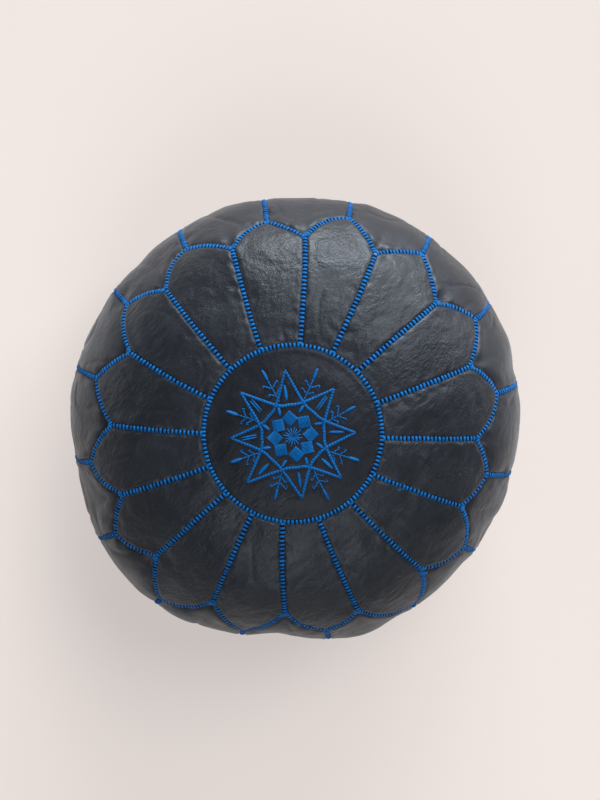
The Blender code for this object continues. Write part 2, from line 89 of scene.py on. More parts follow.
BEFORE_TIP = (1.75, 1.0, 1.3, 1.45, 1.15, 1.3, 1.9, 1.2, 1.15, 1.8, 1.3, 1.6, 1.1, 1.3, 1.7, 1.5)
AFTER_TIP = (1.0, 1.0, 1.05, 1.5, 1.3, 1.4, 1.5, 1.6, 1.1, 1.2, 1.2, 1.2, 1.0, 1.3, 1.1, 1.0)
RIM_SHIFT = (-8, -1.5, 0, 1.5, -0.5, -3.5, -1.7, -1.6, -7.4, 3.4, 5.5, -2.2, -1.5, -6, -10, -8.5)
POCKETS = (1.7, 1.5, 1.0, 0.8, 0.6, 0.6, 0.8, 0.7, 0.8, 0.8, 0.8, 1.1, 0.9, 0.9, 1.0, 1.2)
VALLEY_RADIUS = 0.202
TIP_RADIUS = 0.229

# Cover map
COLUMNS = 20
PETAL_ROWS = 24
SIDE_ROWS = 56
ROWS = PETAL_ROWS + SIDE_ROWS
AROUND = SEAMS * COLUMNS

# Stitching
STITCH_PITCH = 0.00435
STITCH_LENGTH = 0.0062
STITCH_WIDTH = 0.0033
STITCH_TURNS = 8

# Cloth simulation: its length, and how far it may carry a point
CLOTH_FRAMES = 20
SUNK, RAISED, SLID = -0.003, 0.012, 0.004

# Points of the outline above and below the belly, and cells of the noise
CROWN_POINTS, UNDER_POINTS = 600, 400
LATTICE_CELLS = 24

random = np.random.default_rng(16)


# The cover map


def outline():
    """Distance along the outline, and radius and height there."""
    crown = np.linspace(math.pi / 2, 0, CROWN_POINTS)
    power = 2 / CROWN_ROUNDNESS
    crown_radius = BELLY_RADIUS * np.cos(crown) ** power
    crown_height = BELLY_HEIGHT + (TOP - BELLY_HEIGHT) * np.sin(crown) ** power
    crown_radius[0] = 0.0
    under = np.linspace(0, math.pi / 2, UNDER_POINTS)[1:]
    under_radius = FLOOR_RADIUS + (BELLY_RADIUS - FLOOR_RADIUS) * np.cos(under)
    under_height = BELLY_HEIGHT * (1 - np.sin(under))
    radius = np.concatenate([crown_radius, under_radius])
    height = np.concatenate([crown_height, under_height])
    run = np.concatenate([[0.0], np.cumsum(np.hypot(np.diff(radius), np.diff(height)))])
    return run, radius, height


RUN, RUN_RADIUS, RUN_HEIGHT = outline()
BELLY = int(np.argmax(RUN_RADIUS))


def run_at_radius(radius):
    """Distance along the crown to this radius."""
    return np.interp(radius, RUN_RADIUS[: BELLY + 1], RUN[: BELLY + 1])


HUB_RUN = float(run_at_radius(HUB_RADIUS))
BASE_RUN = float(np.interp(-BASE_RADIUS, -RUN_RADIUS[BELLY:], RUN[BELLY:]))
VALLEY_RUNS = run_at_radius(VALLEY_RADIUS) + 0.001 * np.array(VALLEY_SHIFT)
TIP_RUNS = run_at_radius(TIP_RADIUS) + 0.001 * np.array(TIP_SHIFT)


def smooth(value):
    value = np.clip(value, 0.0, 1.0)
    return value * value * (3 - 2 * value)


def mix(first, second, share):
    return first + (second - first) * share


def bell(value, width):
    """1 at zero, falling away smoothly past the width."""
    return np.exp(-((value / width) ** 2))


def lengths_along(path):
    """Distance along a path to each of its points."""
    return np.concatenate([[0], np.cumsum(np.linalg.norm(np.diff(path, axis=0), axis=1))])


def map_place(column, row):
    """Angle clockwise from +Y in degrees, and distance along the outline."""
    column = np.asarray(column, float) % AROUND
    row = np.asarray(row, float)
    sector = np.floor(column / COLUMNS).astype(int) % SEAMS
    after = (sector + 1) % SEAMS
    share = column / COLUMNS - np.floor(column / COLUMNS)
    down = np.clip(row / PETAL_ROWS, 0, 1)
    below = np.clip((row - PETAL_ROWS) / SIDE_ROWS, 0, 1)
    hub, valley, tip = (np.array(turn) for turn in (HUB_TURN, VALLEY_TURN, TIP_TURN))
    settle = 1 - smooth(below * 1.1)

    def seam_turn(number):
        return mix(hub[number], valley[number], down) * settle

    middle_hub = (hub[sector] + hub[after]) / 2
    tip_turn = mix(middle_hub, tip[sector], down) * settle
    before_tip = mix(seam_turn(sector), tip_turn, share * 2)
    after_tip = mix(tip_turn, seam_turn(after), share * 2 - 1)
    step = 360 / SEAMS
    angle = step * (sector + share) + np.where(share < 0.5, before_tip, after_tip)
    valley_run = np.where(share < 0.5, VALLEY_RUNS[sector], VALLEY_RUNS[after])
    bend = np.where(share < 0.5, np.array(BEFORE_TIP)[sector], np.array(AFTER_TIP)[sector])
    from_tip = np.abs(share * 2 - 1) ** bend
    edge = mix(TIP_RUNS[sector], valley_run, from_tip)
    run = mix(HUB_RUN, edge, down) + (BASE_RUN - edge) * below
    return angle, run


def outline_point(angle, run):
    """Points and outward normals of the plain turned shape."""
    step = 0.0015
    ahead = np.minimum(run + step, RUN[-1])
    behind = np.maximum(run - step, 0.0)
    across = np.interp(ahead, RUN, RUN_RADIUS) - np.interp(behind, RUN, RUN_RADIUS)
    up = np.interp(ahead, RUN, RUN_HEIGHT) - np.interp(behind, RUN, RUN_HEIGHT)
    size = np.hypot(across, up)
    turn = np.radians(angle)
    radius = np.interp(run, RUN, RUN_RADIUS)
    height = np.interp(run, RUN, RUN_HEIGHT)
    out = np.stack([np.sin(turn), np.cos(turn)], -1)
    point = np.concatenate([out * radius[..., None], height[..., None]], -1)
    normal = np.concatenate([out * (-up / size)[..., None], (across / size)[..., None]], -1)
    return point, normal


LATTICES = {}


def noise(points, size, seed):
    """Smooth noise between -1 and 1 with cells of the given size."""
    if seed not in LATTICES:
        LATTICES[seed] = np.random.default_rng(seed).uniform(-1, 1, (LATTICE_CELLS,) * 3)
    lattice = LATTICES[seed]
    place = points / size + 7.3
    cell = np.floor(place).astype(int)
    part = smooth(place - cell)
    total = 0.0
    for corner in range(8):
        bits = np.array([corner & 1, corner >> 1 & 1, corner >> 2 & 1])
        weight = np.prod(np.where(bits, part, 1 - part), -1)
        index = (cell + bits) % LATTICE_CELLS
        total = total + weight * lattice[index[..., 0], index[..., 1], index[..., 2]]
    return total


def curve_weights(part):
    """Weights of four neighbours in a smooth curve through them."""
    square = part * part
    cube = square * part
    return np.stack(
        [
            -0.5 * part + square - 0.5 * cube,
            1 - 2.5 * square + 1.5 * cube,
            0.5 * part + 2 * square - 1.5 * cube,
            -0.5 * square + 0.5 * cube,
        ],
        -1,
    )


def lean(points):
    """Carry the top of the cover a little to the left, as it was sewn."""
    radius = np.hypot(points[..., 0], points[..., 1])
    moved = np.array(points, float)
    moved[..., 0] -= DISC_LEAN * (1 - smooth((radius - HUB_RADIUS) / 0.10))
    return moved


def rest_cover():
    """The cover map's points before the cloth is pressed out, and their normals."""
    columns, rows = np.meshgrid(np.arange(AROUND), np.arange(ROWS + 1))
    angle, run = map_place(columns, rows)
    point, normal = outline_point(angle, run)
    lumps = 0.0035 * noise(point, 0.11, 3) + 0.0015 * noise(point, 0.05, 4)
    lumps = lumps * smooth((0.62 - run) / 0.08) * smooth((run - HUB_RUN) / 0.05)
    place = angle / 360 * SEAMS
    near = np.floor(place).astype(int)
    weights = curve_weights(place - near)
    shifts = np.array(RIM_SHIFT) * 0.001
    rim = sum(weights[..., i] * shifts[(near + i - 1) % SEAMS] for i in range(4))
    rim = rim * smooth((run - 0.20) / 0.08) * smooth((BASE_RUN - run) / 0.10)
    return lean(point + normal * (lumps + rim)[..., None]), normal


def seam_mask():
    """Which points of the map lie on a seam."""
    mask = np.zeros((ROWS + 1, AROUND), bool)
    mask[[0, PETAL_ROWS, ROWS]] = True
    mask[:PETAL_ROWS, ::COLUMNS] = True
    mask[PETAL_ROWS:, COLUMNS // 2 :: COLUMNS] = True
    return mask


def grid_mesh(name, points, closed=False):
    """A mesh from rows and columns of points. A closed one joins its last column to its first."""
    rows, columns = points.shape[:2]
    index = np.arange(rows * columns).reshape(rows, columns)
    if closed:
        index = np.concatenate([index, index[:, :1]], 1)
    quads = np.stack([index[:-1, :-1], index[:-1, 1:], index[1:, 1:], index[1:, :-1]], -1)
    mesh = bpy.data.meshes.new(name)
    fill_mesh(mesh, points.reshape(-1, 3), quads.reshape(-1, 4))
    return mesh


def fill_mesh(mesh, points, quads):
    """Write points and four-sided faces into a mesh."""
    mesh.vertices.add(len(points))
    mesh.vertices.foreach_set("co", np.asarray(points, np.float32).ravel())
    mesh.loops.add(len(quads) * 4)
    mesh.loops.foreach_set("vertex_index", np.asarray(quads, np.int32).ravel())
    mesh.polygons.add(len(quads))
    mesh.polygons.foreach_set("loop_start", np.arange(0, len(quads) * 4, 4, dtype=np.int32))
    mesh.update(calc_edges=True)
    mesh.shade_smooth()


def new_object(name, data):
    """An object that is linked into the scene."""
    made = bpy.data.objects.new(name, data)
    bpy.context.collection.objects.link(made)
    return made


def press_out(point, normal):
    """Blow the leather out between its pinned seams, as the filling does."""
    mesh = grid_mesh("cloth", point, closed=True)
    cover = new_object("cloth", mesh)
    pins = cover.vertex_groups.new(name="seams")
    pins.add([int(i) for i in np.flatnonzero(seam_mask())], 1.0, "REPLACE")
    cloth = cover.modifiers.new("cloth", "CLOTH")
    facts = cloth.settings
    facts.quality = 5
    facts.mass = 0.35
    facts.tension_stiffness = 25
    facts.compression_stiffness = 25
    facts.shear_stiffness = 15
    facts.bending_stiffness = 6
    facts.air_damping = 4
    facts.vertex_group_mass = "seams"
    facts.use_pressure = True
    facts.uniform_pressure_force = 3
    facts.shrink_min = -0.008
    facts.effector_weights.gravity = 0
    scene = bpy.context.scene
    cloth.point_cache.frame_start = 1
    cloth.point_cache.frame_end = CLOTH_FRAMES
    for frame_number in range(1, CLOTH_FRAMES + 1):
        scene.frame_set(frame_number)
    shown = cover.evaluated_get(bpy.context.evaluated_depsgraph_get()).to_mesh()
    moved = np.empty(len(shown.vertices) * 3, np.float32)
    shown.vertices.foreach_get("co", moved)
    moved = moved.reshape(point.shape).astype(float)
    scene.frame_set(1)
    bpy.data.objects.remove(cover)
    shift = moved - point
    out = np.sum(shift * normal, -1, keepdims=True)
    slide = shift - out * normal
    return point + np.clip(out, SUNK, RAISED) * normal + np.clip(slide, -SLID, SLID)


REST, REST_NORMAL = rest_cover()
COVER = press_out(REST, REST_NORMAL)


def on_cover(field, column, row):
    """A smooth reading of a map field between its points."""
    column = np.asarray(column, float)
    row = np.clip(np.asarray(row, float), 0, ROWS)
    left = np.floor(column).astype(int)
    top = np.minimum(np.floor(row).astype(int), ROWS - 1)
    across = curve_weights(column - left)
    down = curve_weights(row - top)
    total = 0.0
    for i in range(4):
        line = np.clip(top + i - 1, 0, ROWS)
        part = 0.0
        for j in range(4):
            part = part + across[..., j, None] * field[line, (left + j - 1) % AROUND]
        total = total + down[..., i, None] * part
    return total


def unit(vectors):
    return vectors / np.maximum(np.linalg.norm(vectors, axis=-1, keepdims=True), 1e-9)


# Seams, as lines on the map


def seam_line(columns, rows, count=400):
    """A line on the map between two places, the distance along it and its stitches."""
    column = np.linspace(columns[0], columns[1], count)
    row = np.linspace(rows[0], rows[1], count)
    point = on_cover(COVER, column, row)
    along = lengths_along(point)
    stitches = max(1, round(along[-1] / STITCH_PITCH))
    return {"column": column, "row": row, "along": along, "stitches": stitches}


def on_line(line, distance):
    """The map place at a distance along a seam."""
    column = np.interp(distance, line["along"], line["column"])
    row = np.interp(distance, line["along"], line["row"])
    return column, row


def all_seams():
    """The sewn lines of every kind of seam."""
    seams = {"hub": [], "radial": [], "zigzag": [], "side": [], "base": []}
    for number in range(SEAMS):
        start = number * COLUMNS
        middle = start + COLUMNS / 2
        end = start + COLUMNS
        seams["hub"].append(seam_line([start, end], [0, 0]))
        seams["radial"].append(seam_line([start, start], [0, PETAL_ROWS]))
        seams["zigzag"].append(seam_line([start, middle], [PETAL_ROWS, PETAL_ROWS]))
        seams["zigzag"].append(seam_line([middle, end], [PETAL_ROWS, PETAL_ROWS]))
        seams["side"].append(seam_line([middle, middle], [PETAL_ROWS, ROWS]))
        seams["base"].append(seam_line([start, end], [ROWS, ROWS]))
    return seams


SEAM_LINES = all_seams()


def seam_tree():
    """Every seam as points for distance tests, and the stitch phase at each."""
    points = []
    phases = []
    for lines in SEAM_LINES.values():
        for line in lines:
            length = line["along"][-1]
            steps = np.linspace(0, length, int(length / 0.001) + 2)
            column, row = on_line(line, steps)
            points.append(on_cover(COVER, column, row))
            phases.append(steps / length * line["stitches"])
    points = np.concatenate(points)
    tree = kdtree.KDTree(len(points))
    for index, point in enumerate(points):
        tree.insert(point, index)
    tree.balance()
    return tree, np.concatenate(phases)


SEAM_TREE, SEAM_PHASES = seam_tree()
VALLEYS = on_cover(COVER, np.arange(SEAMS) * COLUMNS, np.full(SEAMS, PETAL_ROWS))


def from_seam(points):
    """Distance to the nearest seam, and the stitch phase there."""
    flat = points.reshape(-1, 3)
    distance = np.empty(len(flat))
    nearest = np.empty(len(flat), int)
    for index, place in enumerate(flat):
        _, nearest[index], distance[index] = SEAM_TREE.find(place)
    shape = points.shape[:-1]
    return distance.reshape(shape), SEAM_PHASES[nearest].reshape(shape)


# Meshes


def add_attribute(mesh, name, values):
    """Store a number or a vector for every point of a mesh."""
    values = np.asarray(values, np.float32)
    if values.ndim == 1:
        mesh.attributes.new(name, "FLOAT", "POINT").data.foreach_set("value", values)
    else:
        layer = mesh.attributes.new(name, "FLOAT_VECTOR", "POINT")
        layer.data.foreach_set("vector", values.ravel())


def add_piece(name, mesh, looks, replaced, body="pouf"):
    """Show a mesh as a named piece that rides on a body."""
    piece = new_object(name, mesh)
    mesh.materials.append(looks)
    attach(piece, body)
    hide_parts(*replaced)
    return piece


def coarse_cells(count, stride=5):
    """Every few steps from 0 to count, both ends kept."""
    cells = list(range(0, count, stride))
    if count - cells[-1] < 3:
        cells.pop()
    return cells + [count]


def shell_mesh(name, face, normal, seam, closed=False):
    """A leather shell: a fine outer face, edges turned down, and a coarse inner face.

    The face is an array of rows by columns. A closed shell joins its last
    column to its first, and its first and last rows are the turned edges.
    """
    side = 0 if closed else 1
    framed = np.pad(face, ((1, 1), (side, side), (0, 0)), "edge")
    under = np.pad(normal, ((1, 1), (side, side), (0, 0)), "edge")
    near = np.pad(seam, ((1, 1), (side, side)), "edge")
    border = np.zeros(near.shape, bool)
    border[[0, -1]] = True
    if not closed:
        border[:, [0, -1]] = True
    framed[border] -= TURNED_EDGE * under[border]
    rows, columns = near.shape
    index = np.arange(rows * columns).reshape(rows, columns)
    wrapped = np.concatenate([index, index[:, :1]], 1) if closed else index
    quads = np.stack(
        [wrapped[:-1, :-1], wrapped[1:, :-1], wrapped[1:, 1:], wrapped[:-1, 1:]], -1
    )
    faces = [tuple(quad) for quad in quads.reshape(-1, 4).tolist()]
    points = framed.reshape(-1, 3)
    row_cells = coarse_cells(rows - 1)
    column_cells = coarse_cells(wrapped.shape[1] - 1)
    inner = {}
    extra = []
    for row in row_cells[1:-1]:
        for column in column_cells:
            held = column in (0, wrapped.shape[1] - 1)
            if held and not closed:
                continue
            key = (row, column % columns)
            if key not in inner:
                inner[key] = len(points) + len(extra)
                extra.append(framed[key] - LEATHER_THICKNESS * under[key])

    def inside(row, column):
        return inner.get((row, column % columns), int(wrapped[row, column]))

    last_row = rows - 1
    last_column = wrapped.shape[1] - 1
    for upper, lower in zip(row_cells, row_cells[1:]):
        for left, right in zip(column_cells, column_cells[1:]):
            loop = [inside(upper, left)]
            if upper == 0:
                loop += [int(wrapped[0, step]) for step in range(left + 1, right)]
            loop.append(inside(upper, right))
            if right == last_column and not closed:
                loop += [int(wrapped[step, right]) for step in range(upper + 1, lower)]
            loop.append(inside(lower, right))
            if lower == last_row:
                loop += [int(wrapped[lower, step]) for step in range(right - 1, left, -1)]
            loop.append(inside(lower, left))
            if left == 0 and not closed:
                loop += [int(wrapped[step, 0]) for step in range(lower - 1, upper, -1)]
            faces.append(tuple(loop))
    mesh = bpy.data.meshes.new(name)
    mesh.from_pydata(np.concatenate([points, np.array(extra)]).tolist(), [], faces)
    mesh.shade_smooth()
    add_attribute(mesh, "seam", np.concatenate([near.ravel(), np.zeros(len(extra))]))
    return mesh


# Leather panels

# How far gathers stand up beside a seam
PETAL_GATHERS = 0.0006
SIDE_GATHERS = 0.0010
DISC_GATHERS = 0.0004
BASE_GATHERS = 0.0008

# Points across and along each panel, and the share of its width left free at a side seam
PETAL_GRID = (46, 78)
SIDE_GRID = (50, 150)
PANEL_MARGIN = 0.004


def eased(count):
    """Shares from 0 to 1, closer together at both ends."""
    ease = 0.62
    line = np.linspace(-1, 1, count)
    return (ease * np.sin(line * math.pi / 2) + (1 - ease) * line + 1) / 2


def seam_lift(point, distance, phase, gathers):
    """How far leather stands off the plain cover beside a seam."""
    tuck = -0.0024 * np.exp(-((distance / 0.0013) ** 1.3))
    roll = 0.00050 * bell(distance - 0.0050, 0.0034)
    pull = 0.5 - 0.5 * np.cos(2 * math.pi * phase)
    scallop = -0.00035 * pull * bell(distance, 0.0044)
    reach = np.exp(-(np.maximum(distance - 0.003, 0) / 0.011) ** 1.4)
    gather = gathers * noise(point, 0.0135, 8) * reach * smooth(distance / 0.003)
    return tuck + roll + scallop + gather


def petal_creases(point, distance):
    """Soft creases of the smooth upper leather."""
    inside = smooth((distance - 0.002) / 0.02)
    warp = point + 0.012 * noise(point, 0.045, 16)[..., None]
    crease = bell(noise(warp, 0.055, 17), 0.055)
    fine = bell(noise(warp * 1.7, 0.028, 18), 0.07)
    lift = 0.0007 * noise(point, 0.038, 11) - 0.00055 * crease - 0.00022 * fine
    return lift * inside


def side_creases(point, distance, aside, below, pocket):
    """Deeper folds of the side leather, gathered under each inner corner."""
    inside = smooth((distance - 0.002) / 0.02)
    tall = point * np.array([1.0, 1.0, 0.55])
    warp = tall + 0.014 * noise(point, 0.05, 13)[..., None]
    crease = bell(noise(warp, 0.050, 14), 0.07)
    fine = bell(noise(warp * 1.6, 0.030, 19), 0.08)
    lift = 0.0028 * noise(tall, 0.036, 15) - 0.0013 * crease - 0.0002 * fine
    lift = lift * inside * (0.4 + 0.6 * smooth((point[..., 2] - 0.08) / 0.09))
    corner = bell(np.hypot(aside, below), 0.013) * pocket
    tucked = bell(distance, 0.006) * smooth((0.075 - below) / 0.03)
    fold = bell(aside, 0.0055) * np.exp(-below / 0.030)
    ridge = bell(np.abs(aside) - 0.010, 0.006) * np.exp(-below / 0.035)
    away = smooth(distance / 0.0035)
    folds = -0.0055 * corner - 0.0016 * fold + 0.0012 * ridge - 0.0018 * tucked
    return lift + folds * away


def build_panel(name, first, last, top, bottom, counts, looks):
    """One panel between two columns and two rows of the map."""
    beside = PANEL_MARGIN
    above = PANEL_MARGIN / 3
    columns = mix(first, last, beside + (1 - 2 * beside) * eased(counts[0]))
    rows = mix(top, bottom, above + (1 - 2 * above) * eased(counts[1]))
    column, row = np.meshgrid(columns, rows)
    point = on_cover(COVER, column, row)
    normal = unit(on_cover(REST_NORMAL, column, row))
    distance, phase = from_seam(point)
    if top == 0:
        lift = seam_lift(point, distance, phase, PETAL_GATHERS)
        lift = lift + petal_creases(point, distance)
        distance_for_shade_and_wear = distance
    else:
        middle = (first + last) / 2
        number = round(middle / COLUMNS) % SEAMS
        turn = (column - middle) * 2 * math.pi / AROUND
        aside = turn * np.hypot(point[..., 0], point[..., 1])
        below = np.sqrt(np.maximum(np.sum((point - VALLEYS[number]) ** 2, -1) - aside**2, 0))
        pocket = POCKETS[number]
        lift = seam_lift(point, distance, phase, SIDE_GATHERS)
        lift = lift + side_creases(point, distance, aside, below, pocket)
        # Painted shade in the pocket under each inner corner: the seam distance stored for the
        # leather's colour is shortened there, so the seam's painted shade darkens the pocket.
        dark = bell(np.hypot(aside, below), 0.015)
        distance_for_shade_and_wear = distance * (1 - 0.8 * dark * min(pocket - 0.5, 1.0))
    face = point + normal * lift[..., None]
    mesh = shell_mesh(name, face, normal, distance_for_shade_and_wear)
    piece = add_piece(name + "_leather", mesh, looks, [name])


def build_panels(upper, lower):
    """Sixteen petals round the disc and sixteen side panels below them."""
    half = COLUMNS / 2
    for number in range(SEAMS):
        start = number * COLUMNS
        name = f"petal_{number + 1:02d}"
        build_panel(name, start, start + COLUMNS, 0, PETAL_ROWS, PETAL_GRID, upper)
        name = f"side_panel_{number + 1:02d}"
        build_panel(name, start - half, start + half, PETAL_ROWS, ROWS, SIDE_GRID, lower)


# Thread

# Faces that close the end of a band or bar, which has eight points round it
END_FACES = ((0, 1, 2, 7), (2, 3, 6, 7), (3, 4, 5, 6))


def tube_mesh(name, tubes):
    """Closed thread pieces from (rings, lay) pairs: pieces by sections by points by axes."""
    points = []
    lays = []
    quads = []
    start = 0
    for rings, lay in tubes:
        count, sections, around = rings.shape[:3]
        index = start + np.arange(count * sections * around).reshape(count, sections, around)
        turned = np.roll(index, -1, 2)
        walls = [index[:, :-1], index[:, 1:], turned[:, 1:], turned[:, :-1]]
        quads.append(np.stack(walls, -1).reshape(-1, 4))
        for end, order in ((0, 1), (-1, -1)):
            ring = index[:, end]
            for corners in END_FACES:
                quads.append(ring[:, list(corners)[::order]])
        points.append(rings.reshape(-1, 3))
        lays.append(lay.reshape(-1, 3))
        start += index.size
    mesh = bpy.data.meshes.new(name)
    fill_mesh(mesh, np.concatenate(points), np.concatenate(quads))
    add_attribute(mesh, "lay", np.concatenate(lays))
    return mesh


# Points round a section, and a bar's sections: place, share of the width, and height
TURN = np.arange(STITCH_TURNS) * 2 * math.pi / STITCH_TURNS
BAR_PLACE = np.array((-1, -0.86, -0.5, 0, 0.5, 0.86, 1))
BAR_WIDTH = np.array((0.50, 0.84, 1.0, 1.0, 1.0, 0.84, 0.50))
BAR_HEIGHT = np.array((0.30, 0.50, 0.62, 0.66, 0.62, 0.50, 0.30)) * 0.001


def stitch_bars(line):
    """Thread bars across one seam, hugging the leather on both sides."""
    count = line["stitches"]
    length = line["along"][-1]
    pitch = length / count
    slide = random.uniform(-0.00012, 0.00012, count)
    place = (np.arange(count) + 0.5) * pitch + slide
    column, row = on_line(line, place)
    before = on_cover(COVER, *on_line(line, place - 0.0015))
    after = on_cover(COVER, *on_line(line, place + 0.0015))
    point = on_cover(COVER, column, row)
    normal = unit(on_cover(REST_NORMAL, column, row))
    along = after - before
    along = unit(along - np.sum(along * normal, -1, keepdims=True) * normal)
    tilt = random.uniform(-0.07, 0.07, count)[:, None]
    along = unit(along + tilt * np.cross(normal, along))
    across = np.cross(normal, along)
    reach = STITCH_LENGTH / 2 * random.uniform(0.94, 1.06, count)[:, None]
    column_step = 2 * (on_cover(REST, column + 0.25, row) - on_cover(REST, column - 0.25, row))
    down = np.where(row > ROWS - 1, row - 1, row)
    row_step = on_cover(REST, column, down + 1) - on_cover(REST, column, down)
    ends = []
    for side in (-1, 1):
        wanted = across * side * reach
        grid = np.stack([column_step, row_step], -1)
        moves = np.einsum("nij,nj->ni", np.linalg.pinv(grid), wanted)
        to_column = column + moves[:, 0]
        to_row = row + moves[:, 1]
        landed = on_cover(COVER, to_column, to_row)
        missed = ((to_row < 0) | (to_row > ROWS))[:, None]
        ends.append(np.where(missed, point + wanted, landed) - 0.0003 * normal)
    share = (BAR_PLACE[None, :, None] + 1) / 2
    centre = mix(ends[0][:, None], ends[1][:, None], share)
    arch = 0.00095 * (1 - BAR_PLACE**2) - 0.0006 * np.abs(BAR_PLACE) ** 6
    centre = centre + arch[None, :, None] * normal[:, None]
    width = STITCH_WIDTH / 2 * random.uniform(0.94, 1.05, count)
    width = width[:, None] * BAR_WIDTH[None]
    sideways = along[:, None, None] * (width[..., None] * np.cos(TURN))[..., None]
    height = BAR_HEIGHT[None, :, None] * np.sin(TURN)
    upward = normal[:, None, None] * height[..., None]
    rings = centre[:, :, None] + sideways + upward
    lay = np.empty(rings.shape)
    lay[..., 0] = width[..., None] * np.cos(TURN)
    lay[..., 1] = (BAR_PLACE * STITCH_LENGTH / 2)[None, :, None]
    lay[..., 2] = random.uniform(0, 1, count)[:, None, None]
    return rings, lay


def add_thread(name, tubes, looks, node):
    """Show closed thread pieces as one piece that stands for a CAD node."""
    add_piece(name, tube_mesh(name, tubes), looks, [node])


def build_stitching(looks):
    """Every thread bar of the cover, joined by the seams they sew."""
    bars = {kind: [stitch_bars(line) for line in lines] for kind, lines in SEAM_LINES.items()}
    for kind, name, node in (
        ("hub", "hub_ring_thread", "hub_ring_stitching"),
        ("radial", "petal_seam_thread", "petal_stitching"),
        ("zigzag", "zigzag_seam_thread", "petal_stitching"),
        ("side", "side_seam_thread", "side_stitching"),
        ("base", "base_seam_thread", "side_stitching"),
    ):
        add_thread(name, bars[kind], looks, node)


# Centre disc and its embroidery

# Tips of the star and of the sprigs, clockwise from +Y: degrees, and radius in millimetres
STAR_TIPS = ((-9.5, 67.6), (38.7, 63.9), (84.3, 64.7), (128.1, 65.8))
STAR_TIPS += ((169.1, 64.4), (222.2, 67.5), (265.5, 64.1), (306.9, 69.7))
SPRIG_TIPS = ((-27.9, 74.6), (17.9, 73.8), (62.4, 71.5), (107.7, 73.5))
SPRIG_TIPS += ((148.0, 75.6), (193.5, 68.4), (244.6, 70.0), (287.8, 73.4))

# Inner and outer end of the leaf inside each star tip, in degrees
LEAF_ANGLES = ((-12.4, -12.0), (39.6, 38.0), (81.0, 82.8), (125.0, 126.5))
LEAF_ANGLES += ((168.5, 168.9), (219.5, 219.5), (267.9, 264.3), (304.9, 308.0))
SPLIT_LEAVES = (1, 6, 7)
FAR_LEAF = 7

# How the whole pattern is stretched and set on the disc
PATTERN_STRETCH = (1.018, 1.036)
PATTERN_SHIFT = (0.0003, -0.00135)

# Where the star's arcs cross and bow, in millimetres, and small uneven turns in degrees
CROSSING_RADIUS = 36.5
ARC_RADIUS = 32.4
SPRIG_BENDS = (2.5, -2, 1.5, 2, -1.5, 1, -2, 2)
SPRIG_STARTS = (4, -4, 4, 3, -5, 1, -4, 2)
DIAMOND_TURNS = (6, -5, 8, -4, 7, -6, 5, -3)
DIAMOND_SIZE = 0.0124
DIAMOND_STRANDS = 9

# A strand's width in millimetres, nine tenths of the spacing
STRAND_WIDTH = DIAMOND_SIZE / DIAMOND_STRANDS * 900

# Spacing of the points along a band of thread
ARC_STEP = 0.0006
STEM_STEP = 0.0008
LEAF_STEP = 0.0009
STRAND_STEP = 0.0014

# Leather of the disc: points round it, rings across it, and closer rings at its seam
DISC_AROUND = 300
DISC_RINGS = (0.0012, 0.084, 92)
DISC_EDGE_RINGS = (0.0849, HUB_RADIUS - 0.0002, 14)


def disc_height(points):
    """Height of the centre disc's leather at flat places."""
    radius = np.hypot(points[..., 0], points[..., 1])
    height = np.interp(run_at_radius(radius), RUN, RUN_HEIGHT)
    place = np.concatenate([points, np.zeros(points.shape[:-1] + (1,))], -1)
    edge = smooth((HUB_RADIUS - radius) / 0.03)
    waves = 0.0007 * noise(place, 0.045, 21) + 0.00025 * noise(place, 0.016, 22)
    return height + 0.0020 * edge + waves * edge


def polar(angle, radius):
    """A flat place from degrees clockwise from +Y and a radius in millimetres."""
    turn = np.radians(angle)
    return np.stack([np.sin(turn) * radius, np.cos(turn) * radius], -1) * 0.001


def heading(angle):
    """A flat direction of length one, from degrees clockwise from +Y."""
    return polar(angle, 1000.0)


def pattern(angle, radius):
    """A place in the embroidery, which sits a little off the disc's middle."""
    return polar(angle, radius) * np.array(PATTERN_STRETCH) + np.array(PATTERN_SHIFT)


def smooth_path(corners, step):
    """Evenly spaced places along a smooth curve through corners."""
    corners = np.asarray(corners)
    count = len(corners)
    before = 2 * corners[:1] - corners[1:2]
    after = 2 * corners[-1:] - corners[-2:-1]
    padded = np.concatenate([before, corners, after])
    fine = []
    for index in range(count - 1):
        share = np.linspace(0, 1, 40, endpoint=index == count - 2)
        weights = curve_weights(share)
        fine.append(weights @ padded[index : index + 4])
    fine = np.concatenate(fine)
    along = lengths_along(fine)
    places = np.linspace(0, along[-1], max(4, round(along[-1] / step)))
    return np.stack([np.interp(places, along, fine[:, axis]) for axis in (0, 1)], -1)


def ribbon(path, widths, height=0.0008, slant=0.0, parallel=False, tone=None):
    """A flat band of thread laid on the disc along a path of flat places."""
    count = len(path)
    forward = np.gradient(path, axis=0)
    forward = forward / np.maximum(np.linalg.norm(forward, axis=1, keepdims=True), 1e-9)
    side = np.stack([forward[:, 1], -forward[:, 0]], -1)
    shares = np.linspace(0, 1, len(widths))
    half = np.interp(np.linspace(0, 1, count), shares, widths) * 0.0005
    edges = np.minimum(np.arange(count), np.arange(count)[::-1])
    rise = height * np.clip(0.35 + 0.25 * edges, 0, 1)
    ridge = 1 + 0.16 * np.where(np.arange(count) % 2, 1.0, -1.0) * (not parallel)
    flat = path[:, None] + side[:, None] * (half[:, None] * np.cos(TURN))[..., None]
    flat = flat + forward[:, None] * (slant * half[:, None] * np.cos(TURN))[..., None]
    level = disc_height(flat)
    up = (rise * ridge)[:, None] * np.maximum(np.sin(TURN), -0.6)
    rings = np.concatenate([flat, (level + 0.0001 + up)[..., None]], -1)
    along = lengths_along(path)
    lay = np.empty(rings.shape)
    across = half[:, None] * np.cos(TURN)
    length = along[:, None] + slant * across
    lay[..., 0] = across if parallel else length
    lay[..., 1] = length if parallel else across
    lay[..., 2] = random.uniform(0, 1) if tone is None else tone
    return rings[None], lay[None]


def sewn(corners, step, widths, **how):
    """A band of thread along a smooth curve through corners."""
    return ribbon(smooth_path(corners, step), widths, **how)


